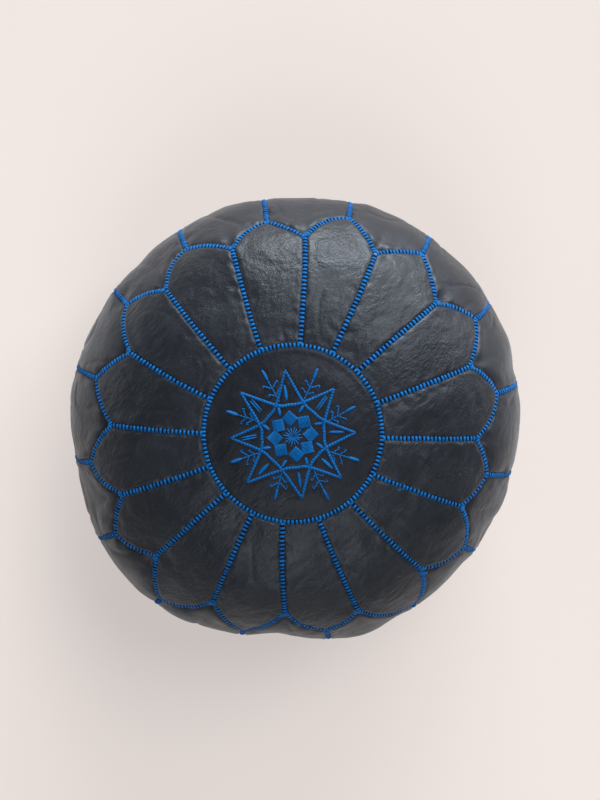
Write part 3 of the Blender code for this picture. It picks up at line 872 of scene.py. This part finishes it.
def star_tip(number):
    """Angle and radius of a star tip, counted on past a full turn."""
    turns, tip = divmod(number, len(STAR_TIPS))
    angle, radius = STAR_TIPS[tip]
    return angle + 360 * turns, radius


def star_tubes():
    """Eight bowed arcs, each from one tip to the next but one, and their leaves."""
    tubes = []
    for number in range(len(STAR_TIPS)):
        angle, _ = star_tip(number)
        last_angle, last_radius = star_tip(number - 1)
        after_angle, after_radius = star_tip(number + 1)
        corners = [
            pattern(last_angle, last_radius),
            pattern((last_angle + angle) / 2, CROSSING_RADIUS),
            pattern(angle, ARC_RADIUS),
            pattern((angle + after_angle) / 2, CROSSING_RADIUS),
            pattern(after_angle, after_radius),
        ]
        widths = (2.6, 3.3, 3.3, 3.3, 2.6)
        tubes.append(sewn(corners, ARC_STEP, widths, height=0.0009, slant=0.45))
        further = 4 if number == FAR_LEAF else 0
        inner = pattern(LEAF_ANGLES[number][0], 37.6 + further)
        outer = pattern(LEAF_ANGLES[number][1], 53.2 + further)
        leaf = smooth_path([inner, (inner + outer) / 2, outer], LEAF_STEP)
        if number in SPLIT_LEAVES:
            shift = 0.00125 * heading(angle + 90)
            for side in (-1, 1):
                tubes.append(ribbon(leaf + side * shift, (1.2, 2.1, 2.1, 1.0), parallel=True))
        else:
            tubes.append(ribbon(leaf, (1.4, 3.8, 4.2, 3.4, 1.2), parallel=True))
    return tubes


def wedge_tubes():
    """A short wedge inwards from each crossing of the star."""
    tubes = []
    for number in range(len(STAR_TIPS)):
        middle = (star_tip(number)[0] + star_tip(number + 1)[0]) / 2
        corners = [pattern(middle + 2, 33.6), pattern(middle, 29.5), pattern(middle - 3, 25.2)]
        tubes.append(sewn(corners, LEAF_STEP, (2.6, 3.9, 3.7, 1.6), parallel=True))
    return tubes


def sprig_tubes():
    """Eight leafy sprigs that grow outwards between the star's points."""
    tubes = []
    for number, (angle, radius) in enumerate(SPRIG_TIPS):
        tip = pattern(angle, radius)
        bend = pattern(angle + SPRIG_BENDS[number], radius * 0.62)
        start = pattern(angle + SPRIG_STARTS[number], 38.0)
        way = tip - bend
        way = way / np.linalg.norm(way)
        neck = tip - way * 0.0125
        stem = smooth_path([start, bend, neck], STEM_STEP)
        tubes.append(ribbon(stem, (1.5, 1.6, 1.7), 0.0006, slant=0.5))
        leaf = [neck, (neck + tip) / 2, tip]
        tubes.append(sewn(leaf, LEAF_STEP, (1.9, 3.8, 4.1, 3.6, 1.3), parallel=True))
        for share, size in ((0.30, 8.5), (0.62, 10.0)):
            knot = stem[int(share * (len(stem) - 1))]
            for side in (-1, 1):
                spread = math.radians(52 + random.uniform(-6, 6)) * side
                cosine, sine = math.cos(spread), math.sin(spread)
                aim = np.array([[cosine, -sine], [sine, cosine]]) @ way
                reach = size * random.uniform(0.85, 1.1) * 0.001
                end = knot + aim * reach
                hook = end - way * 0.0030 + aim * 0.0006
                twig = [knot, knot + aim * reach * 0.55, end, hook]
                widths = (1.4, 1.5, 1.5, 1.2)
                tubes.append(sewn(twig, STEM_STEP, widths, height=0.0006, slant=0.5))
    return tubes


def rosette_tubes():
    """A ring of eight filled diamonds, and the sixteen rays inside it."""
    tubes = []
    for number, (angle, _) in enumerate(STAR_TIPS):
        centre = pattern(angle - 3, 18.7)
        twist = angle - 3 + 45 + DIAMOND_TURNS[number]
        if number % 2:
            twist += 90
        along = heading(twist)
        aside = heading(twist + 90)
        tone = random.uniform(0.1, 0.9)
        for strand in range(DIAMOND_STRANDS):
            offset = ((strand + 0.5) / DIAMOND_STRANDS - 0.5) * DIAMOND_SIZE
            ends = [centre + aside * offset + along * DIAMOND_SIZE * side for side in (-0.5, 0.5)]
            ends[0] = ends[0] + along * random.uniform(-0.0003, 0.0003)
            widths = (STRAND_WIDTH, STRAND_WIDTH)
            tubes.append(sewn(ends, STRAND_STEP, widths, height=0.0009, parallel=True, tone=tone))
    for ray in range(16):
        turn = ray * 22.5 + 4 + random.uniform(-3, 3)
        far = (10.3, 8.6)[ray % 2] + random.uniform(-0.5, 0.5)
        near = (1.0, 2.6)[ray % 2]
        ends = [pattern(turn, near), pattern(turn + 1, far)]
        widths = (0.9, 1.3, 1.4, 1.0)
        tubes.append(sewn(ends, LEAF_STEP, widths, height=0.0007, parallel=True))
    return tubes


def build_centre_disc(looks, thread):
    """The round top piece, drawn down a little under its embroidery, and that embroidery."""
    star = [(lean(rings), lay) for rings, lay in star_tubes() + sprig_tubes()]
    rosette = [(lean(rings), lay) for rings, lay in wedge_tubes() + rosette_tubes()]
    laid = np.concatenate([rings.reshape(-1, 3)[::4, :2] for rings, _ in star + rosette])
    tree = kdtree.KDTree(len(laid))
    for index, place in enumerate(laid):
        tree.insert((place[0], place[1], 0.0), index)
    tree.balance()
    radii = np.concatenate([np.linspace(*DISC_RINGS), np.linspace(*DISC_EDGE_RINGS)])
    turns = np.arange(DISC_AROUND) * 2 * math.pi / DISC_AROUND
    radius, turn = np.meshgrid(radii, turns, indexing="ij")
    flat = np.stack([radius * np.sin(turn), radius * np.cos(turn)], -1)
    point = lean(np.concatenate([flat, disc_height(flat)[..., None]], -1))
    reach = np.array([tree.find((x, y, 0.0))[2] for x, y in point[..., :2].reshape(-1, 2)])
    reach = reach.reshape(radius.shape)
    normal = np.zeros(point.shape)
    normal[..., 2] = 1
    distance, phase = from_seam(point)
    lift = seam_lift(point, distance, phase, DISC_GATHERS)
    lift = lift - 0.0003 * bell(reach, 0.002)
    lift = lift + 0.0002 * noise(point, 0.007, 23) * bell(reach, 0.006)
    face = point + normal * lift[..., None]
    mesh = disc_mesh("centre_disc", face, distance)
    piece = add_piece("centre_disc_leather", mesh, looks, ["centre_disc"])
    add_thread("star_thread", star, thread, "embroidered_star")
    add_thread("rosette_thread", rosette, thread, "embroidered_rosette")


def capped_mesh(name, rings):
    """A closed mesh from rings of points, with a flat face at each end."""
    count, around = rings.shape[:2]
    index = np.arange(count * around).reshape(count, around)
    turned = np.roll(index, -1, 1)
    quads = np.stack([index[:-1], index[1:], turned[1:], turned[:-1]], -1)
    faces = [tuple(quad) for quad in quads.reshape(-1, 4).tolist()]
    faces.append(tuple(index[0].tolist()[::-1]))
    faces.append(tuple(index[-1].tolist()))
    mesh = bpy.data.meshes.new(name)
    mesh.from_pydata(rings.reshape(-1, 3).tolist(), [], faces)
    mesh.shade_smooth()
    return mesh


def disc_mesh(name, rings, seam):
    """A leather disc from rings of points, middle first, with a coarse underside."""
    rows, around = rings.shape[:2]
    under = rings[[-1, rows * 3 // 4, rows // 2, rows // 4]].copy()
    under[0, :, 2] -= TURNED_EDGE
    under[1:, :, 2] -= LEATHER_THICKNESS
    mesh = capped_mesh(name, np.concatenate([rings, under]))
    add_attribute(mesh, "seam", np.concatenate([seam.ravel(), np.zeros(4 * around)]))
    return mesh


# Base and filling

# The sewn line round the zip's window: its far corner and height, the pitch of its
# stitches, how far they lie inside the corner, and the points of the line
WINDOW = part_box("zip_window_stitching")[1]
WINDOW_LEVEL = WINDOW.z + 0.0004
WINDOW_PITCH = 0.0042
WINDOW_INSET = 0.001
WINDOW_POINTS = 720

# How far the leather's opening, its shelf and its slope reach past that corner
OPENING = (-0.0160, -0.0045)
SHELF = (0.0055, 0.0035)
SLOPE = (0.0195, 0.0355)

# Leather of the base: points round it, rings from one stop to the next, and rim rings
BASE_AROUND = 288
STOP_RINGS = 14
RIM_RINGS = 22

# Underside of the filling, and the hollow it leaves for the zip
UNDERSIDE = 0.0042
HOLLOW_EDGE = (FLOOR_RADIUS - 0.008, 0.068)
HOLLOW_TOP = (0.162, 0.024)
HOLLOW_HEIGHT = 0.019

# Radii of the filling's rings under the disc, and its steps along the cover map
CORE_RADII = (0.004, 0.03, 0.06, 0.08)
COLUMN_STEP, ROW_STEP = 4, 2


def window_loop(half_size, around):
    """Points round a rectangle that is centred on the origin."""
    turn = np.arange(around) * 2 * math.pi / around
    corner = math.radians(22.5)
    across = np.clip(np.sin(turn) / math.cos(corner), -1, 1)
    along = np.clip(np.cos(turn) / math.sin(corner), -1, 1)
    return np.stack([across * half_size[0], along * half_size[1]], -1)


def build_base(looks):
    """The round bottom, hollowed along the zip, with a window for it."""
    around = BASE_AROUND
    turn = np.arange(around) * 2 * math.pi / around
    out = np.stack([np.sin(turn), np.cos(turn)], -1)
    stops = []
    for past, level in ((OPENING, WINDOW_LEVEL), (SHELF, WINDOW_LEVEL), (SLOPE, 0.0)):
        stops.append((window_loop((WINDOW.x + past[0], WINDOW.y + past[1]), around), level))
    stops.append((out * FLOOR_RADIUS, 0.0))
    rings = []
    for (inner, low), (outer, high) in zip(stops, stops[1:]):
        for share in np.linspace(0, 1, STOP_RINGS + 1)[:-1]:
            flat = mix(inner, outer, share)
            height = np.full((around, 1), mix(low, high, smooth(share)))
            rings.append(np.concatenate([flat, height], -1))
    for share in np.linspace(0, 1, RIM_RINGS):
        run = mix(RUN[-1], BASE_RUN + 0.0003, share)
        point, _ = outline_point(np.degrees(turn), np.full(around, run))
        rings.append(point)
    face = np.stack(rings)
    grid = np.gradient(face, axis=0)
    spin = np.roll(face, -1, 1) - np.roll(face, 1, 1)
    normal = unit(np.cross(grid, spin))
    normal[..., 2] = -np.abs(normal[..., 2])
    distance, phase = from_seam(face)
    lift = seam_lift(face, distance, phase, BASE_GATHERS)
    lift = lift + 0.0004 * noise(face, 0.03, 24) * smooth((distance - 0.004) / 0.02)
    face = face + normal * lift[..., None]
    face[..., 2] = np.maximum(face[..., 2], 0.0002)
    mesh = shell_mesh("base_disc", face, normal, distance, closed=True)
    piece = add_piece("base_disc_leather", mesh, looks, ["base_disc"])


def build_window_thread(thread):
    """A line of small stitches around the zip's window."""
    half_size = (WINDOW.x - WINDOW_INSET, WINDOW.y - WINDOW_INSET)
    loop = window_loop(half_size, WINDOW_POINTS)
    loop = np.concatenate([loop, loop[:1]])
    along = lengths_along(loop)
    tubes = []
    stitches = round(along[-1] / WINDOW_PITCH)
    for stitch in range(stitches):
        ends = (np.array((0.12, 0.5, 0.88)) + stitch) / stitches * along[-1]
        path = np.stack([np.interp(ends, along, loop[:, axis]) for axis in (0, 1)], -1)
        rings, lay = sewn(path, STEM_STEP, (0.6, 1.0, 0.6), height=0.0005, parallel=True)
        rings[..., 2] = WINDOW_LEVEL - 0.0003 - (rings[..., 2] - disc_height(rings[..., :2]))
        tubes.append((rings[:, :, ::-1], lay[:, :, ::-1]))
    add_thread("zip_window_thread", tubes, thread, "zip_window_stitching")


def build_filling(looks):
    """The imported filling, lumpy where it presses on the leather."""
    every_column, every_row = np.arange(0, AROUND, COLUMN_STEP), np.arange(0, ROWS + 1, ROW_STEP)
    columns, rows = np.meshgrid(every_column, every_row)
    cover = on_cover(COVER, columns, rows)
    normal = on_cover(REST_NORMAL, columns, rows)
    around = columns.shape[1]
    angle, _ = map_place(columns[0], rows[0])
    top = []
    for radius in CORE_RADII:
        flat = polar(angle, radius * 1000)
        top.append(np.concatenate([flat, disc_height(flat)[..., None]], -1))
    skin = np.concatenate([np.stack(top), cover])
    upright = np.zeros((len(CORE_RADII), around, 3)) + np.array([0, 0, 1.0])
    out = np.concatenate([upright, normal])
    lumps = 0.0075 - 0.0015 * noise(skin, 0.03, 31)
    skin = skin - out * lumps[..., None]
    skin[..., 2] = np.maximum(skin[..., 2], UNDERSIDE)
    under = []
    for half_size, height in ((HOLLOW_EDGE, UNDERSIDE), (HOLLOW_TOP, HOLLOW_HEIGHT)):
        loop = window_loop(half_size, around)
        under.append(np.concatenate([loop, np.full((around, 1), height)], -1))
    mesh = capped_mesh("filling", np.concatenate([skin, np.stack(under)]))
    piece = add_piece("filling", mesh, looks, ["stuffing"])


# Materials


class Looks:
    """A node material being put together."""

    def __init__(self, name):
        self.material = bpy.data.materials.new(name)
        self.material.use_nodes = True
        self.tree = self.material.node_tree
        self.shader = self.tree.nodes["Principled BSDF"]

    def node(self, kind, inputs=None, **settings):
        made = self.tree.nodes.new("ShaderNode" + kind)
        for key, value in settings.items():
            setattr(made, key, value)
        for key, value in (inputs or {}).items():
            self.put(made.inputs[key], value)
        return made

    def put(self, socket, value):
        if isinstance(value, bpy.types.NodeSocket):
            self.tree.links.new(value, socket)
        else:
            socket.default_value = value

    def place(self, scale=(1, 1, 1)):
        """Places on the object, stretched along its axes."""
        coordinates = self.node("TexCoord").outputs["Object"]
        mapped = self.node("Mapping", {"Vector": coordinates, "Scale": scale})
        return mapped.outputs["Vector"]

    def noise(self, vector, scale, detail=2.0, rough=0.5, warp=0.0):
        facts = {"Vector": vector, "Scale": scale, "Detail": detail}
        facts.update({"Roughness": rough, "Distortion": warp})
        return self.node("TexNoise", facts).outputs["Fac"]

    def ramp(self, value, low, high, to_low=0.0, to_high=1.0):
        facts = {"Value": value, "From Min": low, "From Max": high}
        facts.update({"To Min": to_low, "To Max": to_high})
        made = self.node("MapRange", facts, interpolation_type="SMOOTHSTEP")
        return made.outputs["Result"]

    def math(self, operation, first, second=0.5):
        made = self.node("Math", operation=operation)
        self.put(made.inputs[0], first)
        self.put(made.inputs[1], second)
        return made.outputs["Value"]

    def blend(self, share, first, second):
        made = self.node("Mix", data_type="RGBA")
        self.put(made.inputs["Factor"], share)
        self.put(made.inputs["A"], first)
        self.put(made.inputs["B"], second)
        return made.outputs["Result"]

    def bump(self, height, distance, strength=1.0, normal=None):
        facts = {"Height": height, "Distance": distance, "Strength": strength}
        made = self.node("Bump", facts)
        if normal is not None:
            self.put(made.inputs["Normal"], normal)
        return made.outputs["Normal"]

    def wear(self, **values):
        for key, value in values.items():
            self.put(self.shader.inputs[key.replace("_", " ")], value)
        return self.material


def colour(red, green, blue):
    return (red, green, blue, 1.0)


# Leather colours: dark, light, and worn, which is also the painted highlight on the rolled edge beside
# each seam
COVER_TONES = ((0.0034, 0.0043, 0.0072), (0.0105, 0.0130, 0.0190), (0.085, 0.092, 0.105))
DISC_TONES = ((0.0024, 0.0030, 0.0056), (0.0085, 0.0100, 0.0150), (0.050, 0.053, 0.060))


def leather_looks(name, tones, specular, sheen, rough, crinkle, fold):
    """Dyed, glazed goatskin: pebbled grain, fine creases, mottling, worn edges with a painted highlight
    on the rolled edge, and painted shade near seams.
    """
    looks = Looks(name)
    dark, light, wear_and_highlight = (colour(*tone) for tone in tones)
    place = looks.place()
    mottle = looks.noise(place, 11.0, 5.0, 0.62, 0.6)
    cloud = looks.noise(place, 42.0, 4.0, 0.6, 0.4)
    scuff = looks.noise(looks.place((1.0, 0.45, 1.0)), 160.0, 4.0, 0.65, 0.4)
    near = looks.node("Attribute", attribute_name="seam").outputs["Fac"]
    tint = looks.math("MULTIPLY_ADD", looks.ramp(cloud, 0.3, 0.72), 0.5)
    tint = looks.math("ADD", looks.ramp(mottle, 0.33, 0.68), tint)
    tint = looks.math("MULTIPLY", tint, 0.6)
    base = looks.blend(tint, dark, light)
    # Worn edge and painted highlight: a pale band on the rolled edge 2.4 to 6.2 mm from each seam,
    # broken up by mottling and scuffs. The scattered scuff marks below are wear.
    edge = looks.ramp(near, 0.0024, 0.0036)
    edge = looks.math("MULTIPLY", edge, looks.ramp(near, 0.0062, 0.0042))
    edge = looks.math("MULTIPLY", edge, looks.ramp(mottle, 0.46, 0.60))
    wear_and_edge_highlight = looks.math("MULTIPLY", edge, looks.ramp(scuff, 0.42, 0.66))
    marks = looks.math("MULTIPLY", looks.ramp(scuff, 0.62, 0.74), looks.ramp(mottle, 0.45, 0.62))
    wear_and_edge_highlight = looks.math("MAXIMUM", wear_and_edge_highlight, looks.math("MULTIPLY", marks, 0.35))
    base = looks.blend(looks.math("MULTIPLY", wear_and_edge_highlight, 0.45), base, wear_and_highlight)
    # Painted shade: the leather's colour darkens over the last 4.6 mm towards each seam, where the seam
    # valley is in shade; it is also made rougher there.
    seam_shade = looks.ramp(near, 0.0046, 0.0010)
    base = looks.blend(looks.math("MULTIPLY", seam_shade, 0.9), base, colour(0.001, 0.0012, 0.002))
    cells = looks.node("TexVoronoi", {"Vector": place, "Scale": 640.0, "Randomness": 1.0})
    pores = looks.noise(place, 1500.0, 2.0, 0.5)
    slanted = looks.node("Mapping", {"Vector": place, "Rotation": (0.2, 0.3, 0.8)})
    slanted = looks.node("Mapping", {"Vector": slanted.outputs["Vector"], "Scale": (1, 0.45, 1)})
    hatch = looks.noise(slanted.outputs["Vector"], 330.0, 3.0, 0.6, 0.3)
    patch = looks.ramp(looks.noise(place, 19.0, 3.0), 0.42, 0.62, 0.12, 1.0)
    folds = looks.noise(slanted.outputs["Vector"], 75.0, 3.0, 0.55, 0.3)
    gloss = looks.math("ADD", looks.math("MULTIPLY", scuff, 0.12), looks.math("MULTIPLY", cloud, 0.30))
    roughness = looks.math("ADD", gloss, rough - 0.21)
    roughness = looks.math("MAXIMUM", roughness, looks.math("MULTIPLY", seam_shade, 0.9))
    normal = looks.bump(cells.outputs["Distance"], 0.00022, 0.6)
    normal = looks.bump(pores, 0.00012, 0.5, normal)
    normal = looks.bump(looks.math("MULTIPLY", hatch, patch), crinkle, 0.7, normal)
    normal = looks.bump(scuff, 0.0006, 0.4, normal)
    normal = looks.bump(folds, fold, 0.6, normal)
    looks.wear(Base_Color=base, Roughness=roughness, Normal=normal)
    looks.wear(Specular_IOR_Level=specular, Sheen_Weight=sheen, Sheen_Roughness=0.36)
    looks.wear(Specular_Tint=colour(0.78, 0.89, 1.0))
    return looks.wear(Sheen_Tint=colour(0.78, 0.88, 1.0))


def thread_looks():
    """Thick glossy thread, laid in close strands."""
    looks = Looks("thread_blue")
    lay = looks.node("Attribute", attribute_name="lay").outputs["Vector"]
    split = looks.node("SeparateXYZ", {"Vector": lay}).outputs
    strands = looks.node("Mapping", {"Vector": lay, "Scale": (2300.0, 260.0, 30.0)})
    fibre = looks.noise(strands.outputs["Vector"], 1.0, 2.0, 0.55, 0.3)
    fine = looks.node("Mapping", {"Vector": lay, "Scale": (7000.0, 500.0, 30.0)})
    hair = looks.noise(fine.outputs["Vector"], 1.0, 1.0)
    twist = looks.math("COSINE", looks.math("MULTIPLY", split["X"], 1900.0))
    tint = looks.math("MULTIPLY_ADD", looks.ramp(fibre, 0.32, 0.68), 0.40)
    looks.put(tint.node.inputs[2], looks.math("MULTIPLY", split["Z"], 0.25))
    tint = looks.math("ADD", tint, looks.ramp(twist, -1.0, 1.0, 0.0, 0.35))
    base = looks.blend(tint, colour(0.0004, 0.022, 0.095), colour(0.0015, 0.155, 0.50))
    normal = looks.bump(twist, 0.00022, 0.6)
    normal = looks.bump(fibre, 0.00035, 0.8, normal)
    normal = looks.bump(hair, 0.00012, 0.5, normal)
    looks.wear(Base_Color=base, Normal=normal, Roughness=0.5)
    looks.wear(Specular_IOR_Level=0.12, Sheen_Weight=0.06, Sheen_Roughness=0.4)
    return looks.wear(Sheen_Tint=colour(0.25, 0.62, 1.0))


def tape_looks():
    """Woven zip tape in a fine herringbone."""
    looks = Looks("zip_tape_weave")
    place = looks.place()
    weave = {"Vector": place, "Scale": 420.0, "Distortion": 0.3}
    first = looks.node("TexWave", weave, bands_direction="DIAGONAL").outputs["Fac"]
    weave = {"Vector": looks.place((1, -1, 1)), "Scale": 420.0, "Distortion": 0.3}
    second = looks.node("TexWave", weave, bands_direction="DIAGONAL").outputs["Fac"]
    cloth = looks.math("MULTIPLY", first, second)
    fuzz = looks.noise(place, 900.0, 3.0)
    tint = looks.math("MULTIPLY_ADD", fuzz, 0.5)
    looks.put(tint.node.inputs[2], looks.math("MULTIPLY", cloth, 0.5))
    base = looks.blend(tint, colour(0.006, 0.006, 0.008), colour(0.035, 0.036, 0.042))
    normal = looks.bump(cloth, 0.0003, 0.8)
    looks.wear(Base_Color=base, Roughness=0.85, Normal=normal)
    return looks.wear(Sheen_Weight=0.3, Sheen_Roughness=0.5)


def metal_looks():
    """Brass that has dulled in its hollows."""
    looks = Looks("zip_brass")
    place = looks.place()
    stain = looks.noise(place, 260.0, 4.0, 0.65, 0.5)
    scratch = looks.noise(looks.place((1, 12, 1)), 500.0, 3.0, 0.6)
    tint = looks.ramp(stain, 0.35, 0.65)
    base = looks.blend(tint, colour(0.36, 0.25, 0.105), colour(0.56, 0.41, 0.19))
    roughness = looks.math("MULTIPLY_ADD", stain, 0.2)
    roughness.node.inputs[2].default_value = 0.22
    normal = looks.bump(scratch, 0.00006, 0.5)
    return looks.wear(Base_Color=base, Metallic=1.0, Roughness=roughness, Normal=normal)


def filling_looks():
    """Pressed cotton waste."""
    looks = Looks("cotton_filling")
    place = looks.place()
    tuft = looks.noise(place, 90.0, 5.0, 0.7, 1.0)
    fleck = looks.noise(place, 600.0, 3.0, 0.7)
    base = looks.blend(tuft, colour(0.42, 0.37, 0.29), colour(0.72, 0.68, 0.60))
    normal = looks.bump(tuft, 0.004, 0.6)
    normal = looks.bump(fleck, 0.0006, 0.7, normal)
    looks.wear(Base_Color=base, Roughness=0.95, Normal=normal)
    return looks.wear(Sheen_Weight=0.3, Specular_IOR_Level=0.2)


def dress(names, looks):
    """Give CAD nodes that keep their shape a finished material."""
    for name in names:
        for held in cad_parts[name].material_slots:
            held.material = looks


# Stage

# The floor: half its side, how far it lies under the pouf, and its own soft light
FLOOR_REACH = 16.0
FLOOR_DROP = 0.0001
FLOOR_GLOW = 0.475


def build_floor():
    """A plain pale floor."""
    steps = np.linspace(-FLOOR_REACH, FLOOR_REACH, 9)
    x, y = np.meshgrid(steps, steps)
    mesh = grid_mesh("floor", np.stack([x, y, np.full(x.shape, -FLOOR_DROP)], -1))
    floor = new_object("floor", mesh)
    looks = Looks("floor_pale")
    grain = looks.noise(looks.place(), 3.0, 3.0)
    base = looks.blend(grain, colour(0.39, 0.355, 0.340), colour(0.41, 0.375, 0.360))
    looks.wear(Emission_Color=colour(0.92, 0.85, 0.82), Emission_Strength=FLOOR_GLOW)
    looks.wear(Specular_IOR_Level=0.0)
    mesh.materials.append(looks.wear(Base_Color=base, Roughness=0.8))


def add_light(name, towards, spread, strength, tint):
    """A very wide soft light that shines from one direction."""
    lamp = bpy.data.lights.new(name, "SUN")
    lamp.angle = math.radians(spread)
    lamp.energy = strength
    lamp.color = tint
    holder = new_object(name, lamp)
    holder.rotation_euler = Vector(towards).to_track_quat("Z", "Y").to_euler()


# Lamps: name, direction, spread in degrees, strength and tint
LAMPS = (
    ("window", (0.15, 1.0, 0.16), 40.0, 6.0, (1.0, 0.985, 0.97)),
    ("ceiling", (0.46, 0.60, 1.00), 30.0, 1.32, (1.0, 0.985, 0.97)),
    ("front", (0.05, -0.80, 1.00), 34.0, 0.80, (1.0, 0.985, 0.98)),
    ("side", (1.0, 0.90, 0.14), 30.0, 1.3, (1.0, 0.98, 0.96)),
    ("fill", (-1.0, 0.15, 0.02), 24.0, 0.4, (1.0, 0.98, 0.98)),
)
SKY_STRENGTH = 0.20

# Camera: how far it is turned and tilted, where it aims off the middle, and its distance
CAMERA_TURN = math.radians(2.55)
CAMERA_TILT = math.radians(6.0)
AIM_RIGHT, AIM_UP = 0.0062, 0.0204
CAMERA_DISTANCE = 2.2
CAMERA_LENS = 87.2


def build_stage():
    """Floor, lamps and sky."""
    build_floor()
    for lamp in LAMPS:
        add_light(*lamp)
    world = bpy.data.worlds.new("studio")
    world.use_nodes = True
    sky = world.node_tree.nodes["Background"]
    sky.inputs["Color"].default_value = (1.0, 0.975, 0.955, 1.0)
    sky.inputs["Strength"].default_value = SKY_STRENGTH
    bpy.context.scene.world = world
    bpy.context.scene.view_settings.view_transform = "Standard"


def place_camera():
    """The camera, nearly straight above the disc."""
    up = Vector((-math.sin(CAMERA_TURN), math.cos(CAMERA_TURN), 0.0))
    right = Vector((math.cos(CAMERA_TURN), math.sin(CAMERA_TURN), 0.0))
    middle = (CAD_LOW[2] + CAD_HIGH[2]) / 2
    aim = Vector((0.0, 0.0, middle)) + right * AIM_RIGHT + up * AIM_UP
    back = up * math.sin(CAMERA_TILT) + Vector((0, 0, 1)) * math.cos(CAMERA_TILT)
    back = back.normalized()
    side = up.cross(back).normalized()
    camera = bpy.data.cameras.new("camera")
    camera.lens = CAMERA_LENS
    camera.sensor_width = 36.0
    holder = new_object("camera", camera)
    pose = Matrix((side, back.cross(side), back)).transposed().to_4x4()
    pose.translation = aim + back * CAMERA_DISTANCE
    holder.matrix_world = pose
    bpy.context.scene.camera = holder


def main():
    petal = leather_looks(
        "leather_petal", COVER_TONES, specular=0.46, sheen=0.12, rough=0.44, crinkle=0.0015, fold=0.0030
    )
    side = leather_looks(
        "leather_side", COVER_TONES, specular=0.44, sheen=0.15, rough=0.46, crinkle=0.0006, fold=0.0016
    )
    disc = leather_looks(
        "leather_disc", DISC_TONES, specular=0.30, sheen=0.06, rough=0.44, crinkle=0.0007, fold=0.0030
    )
    thread = thread_looks()
    build_panels(petal, side)
    build_stitching(thread)
    build_centre_disc(disc, thread)
    build_base(side)
    build_window_thread(thread)
    build_filling(filling_looks())
    dress(["zip_tape_left", "zip_tape_right"], tape_looks())
    metal = metal_looks()
    dress(["zip_teeth_left", "zip_teeth_right", "zip_bottom_stop"], metal)
    dress(["zip_top_stop_left", "zip_top_stop_right", "zip_slider", "zip_pull"], metal)
    build_stage()
    place_camera()


main()
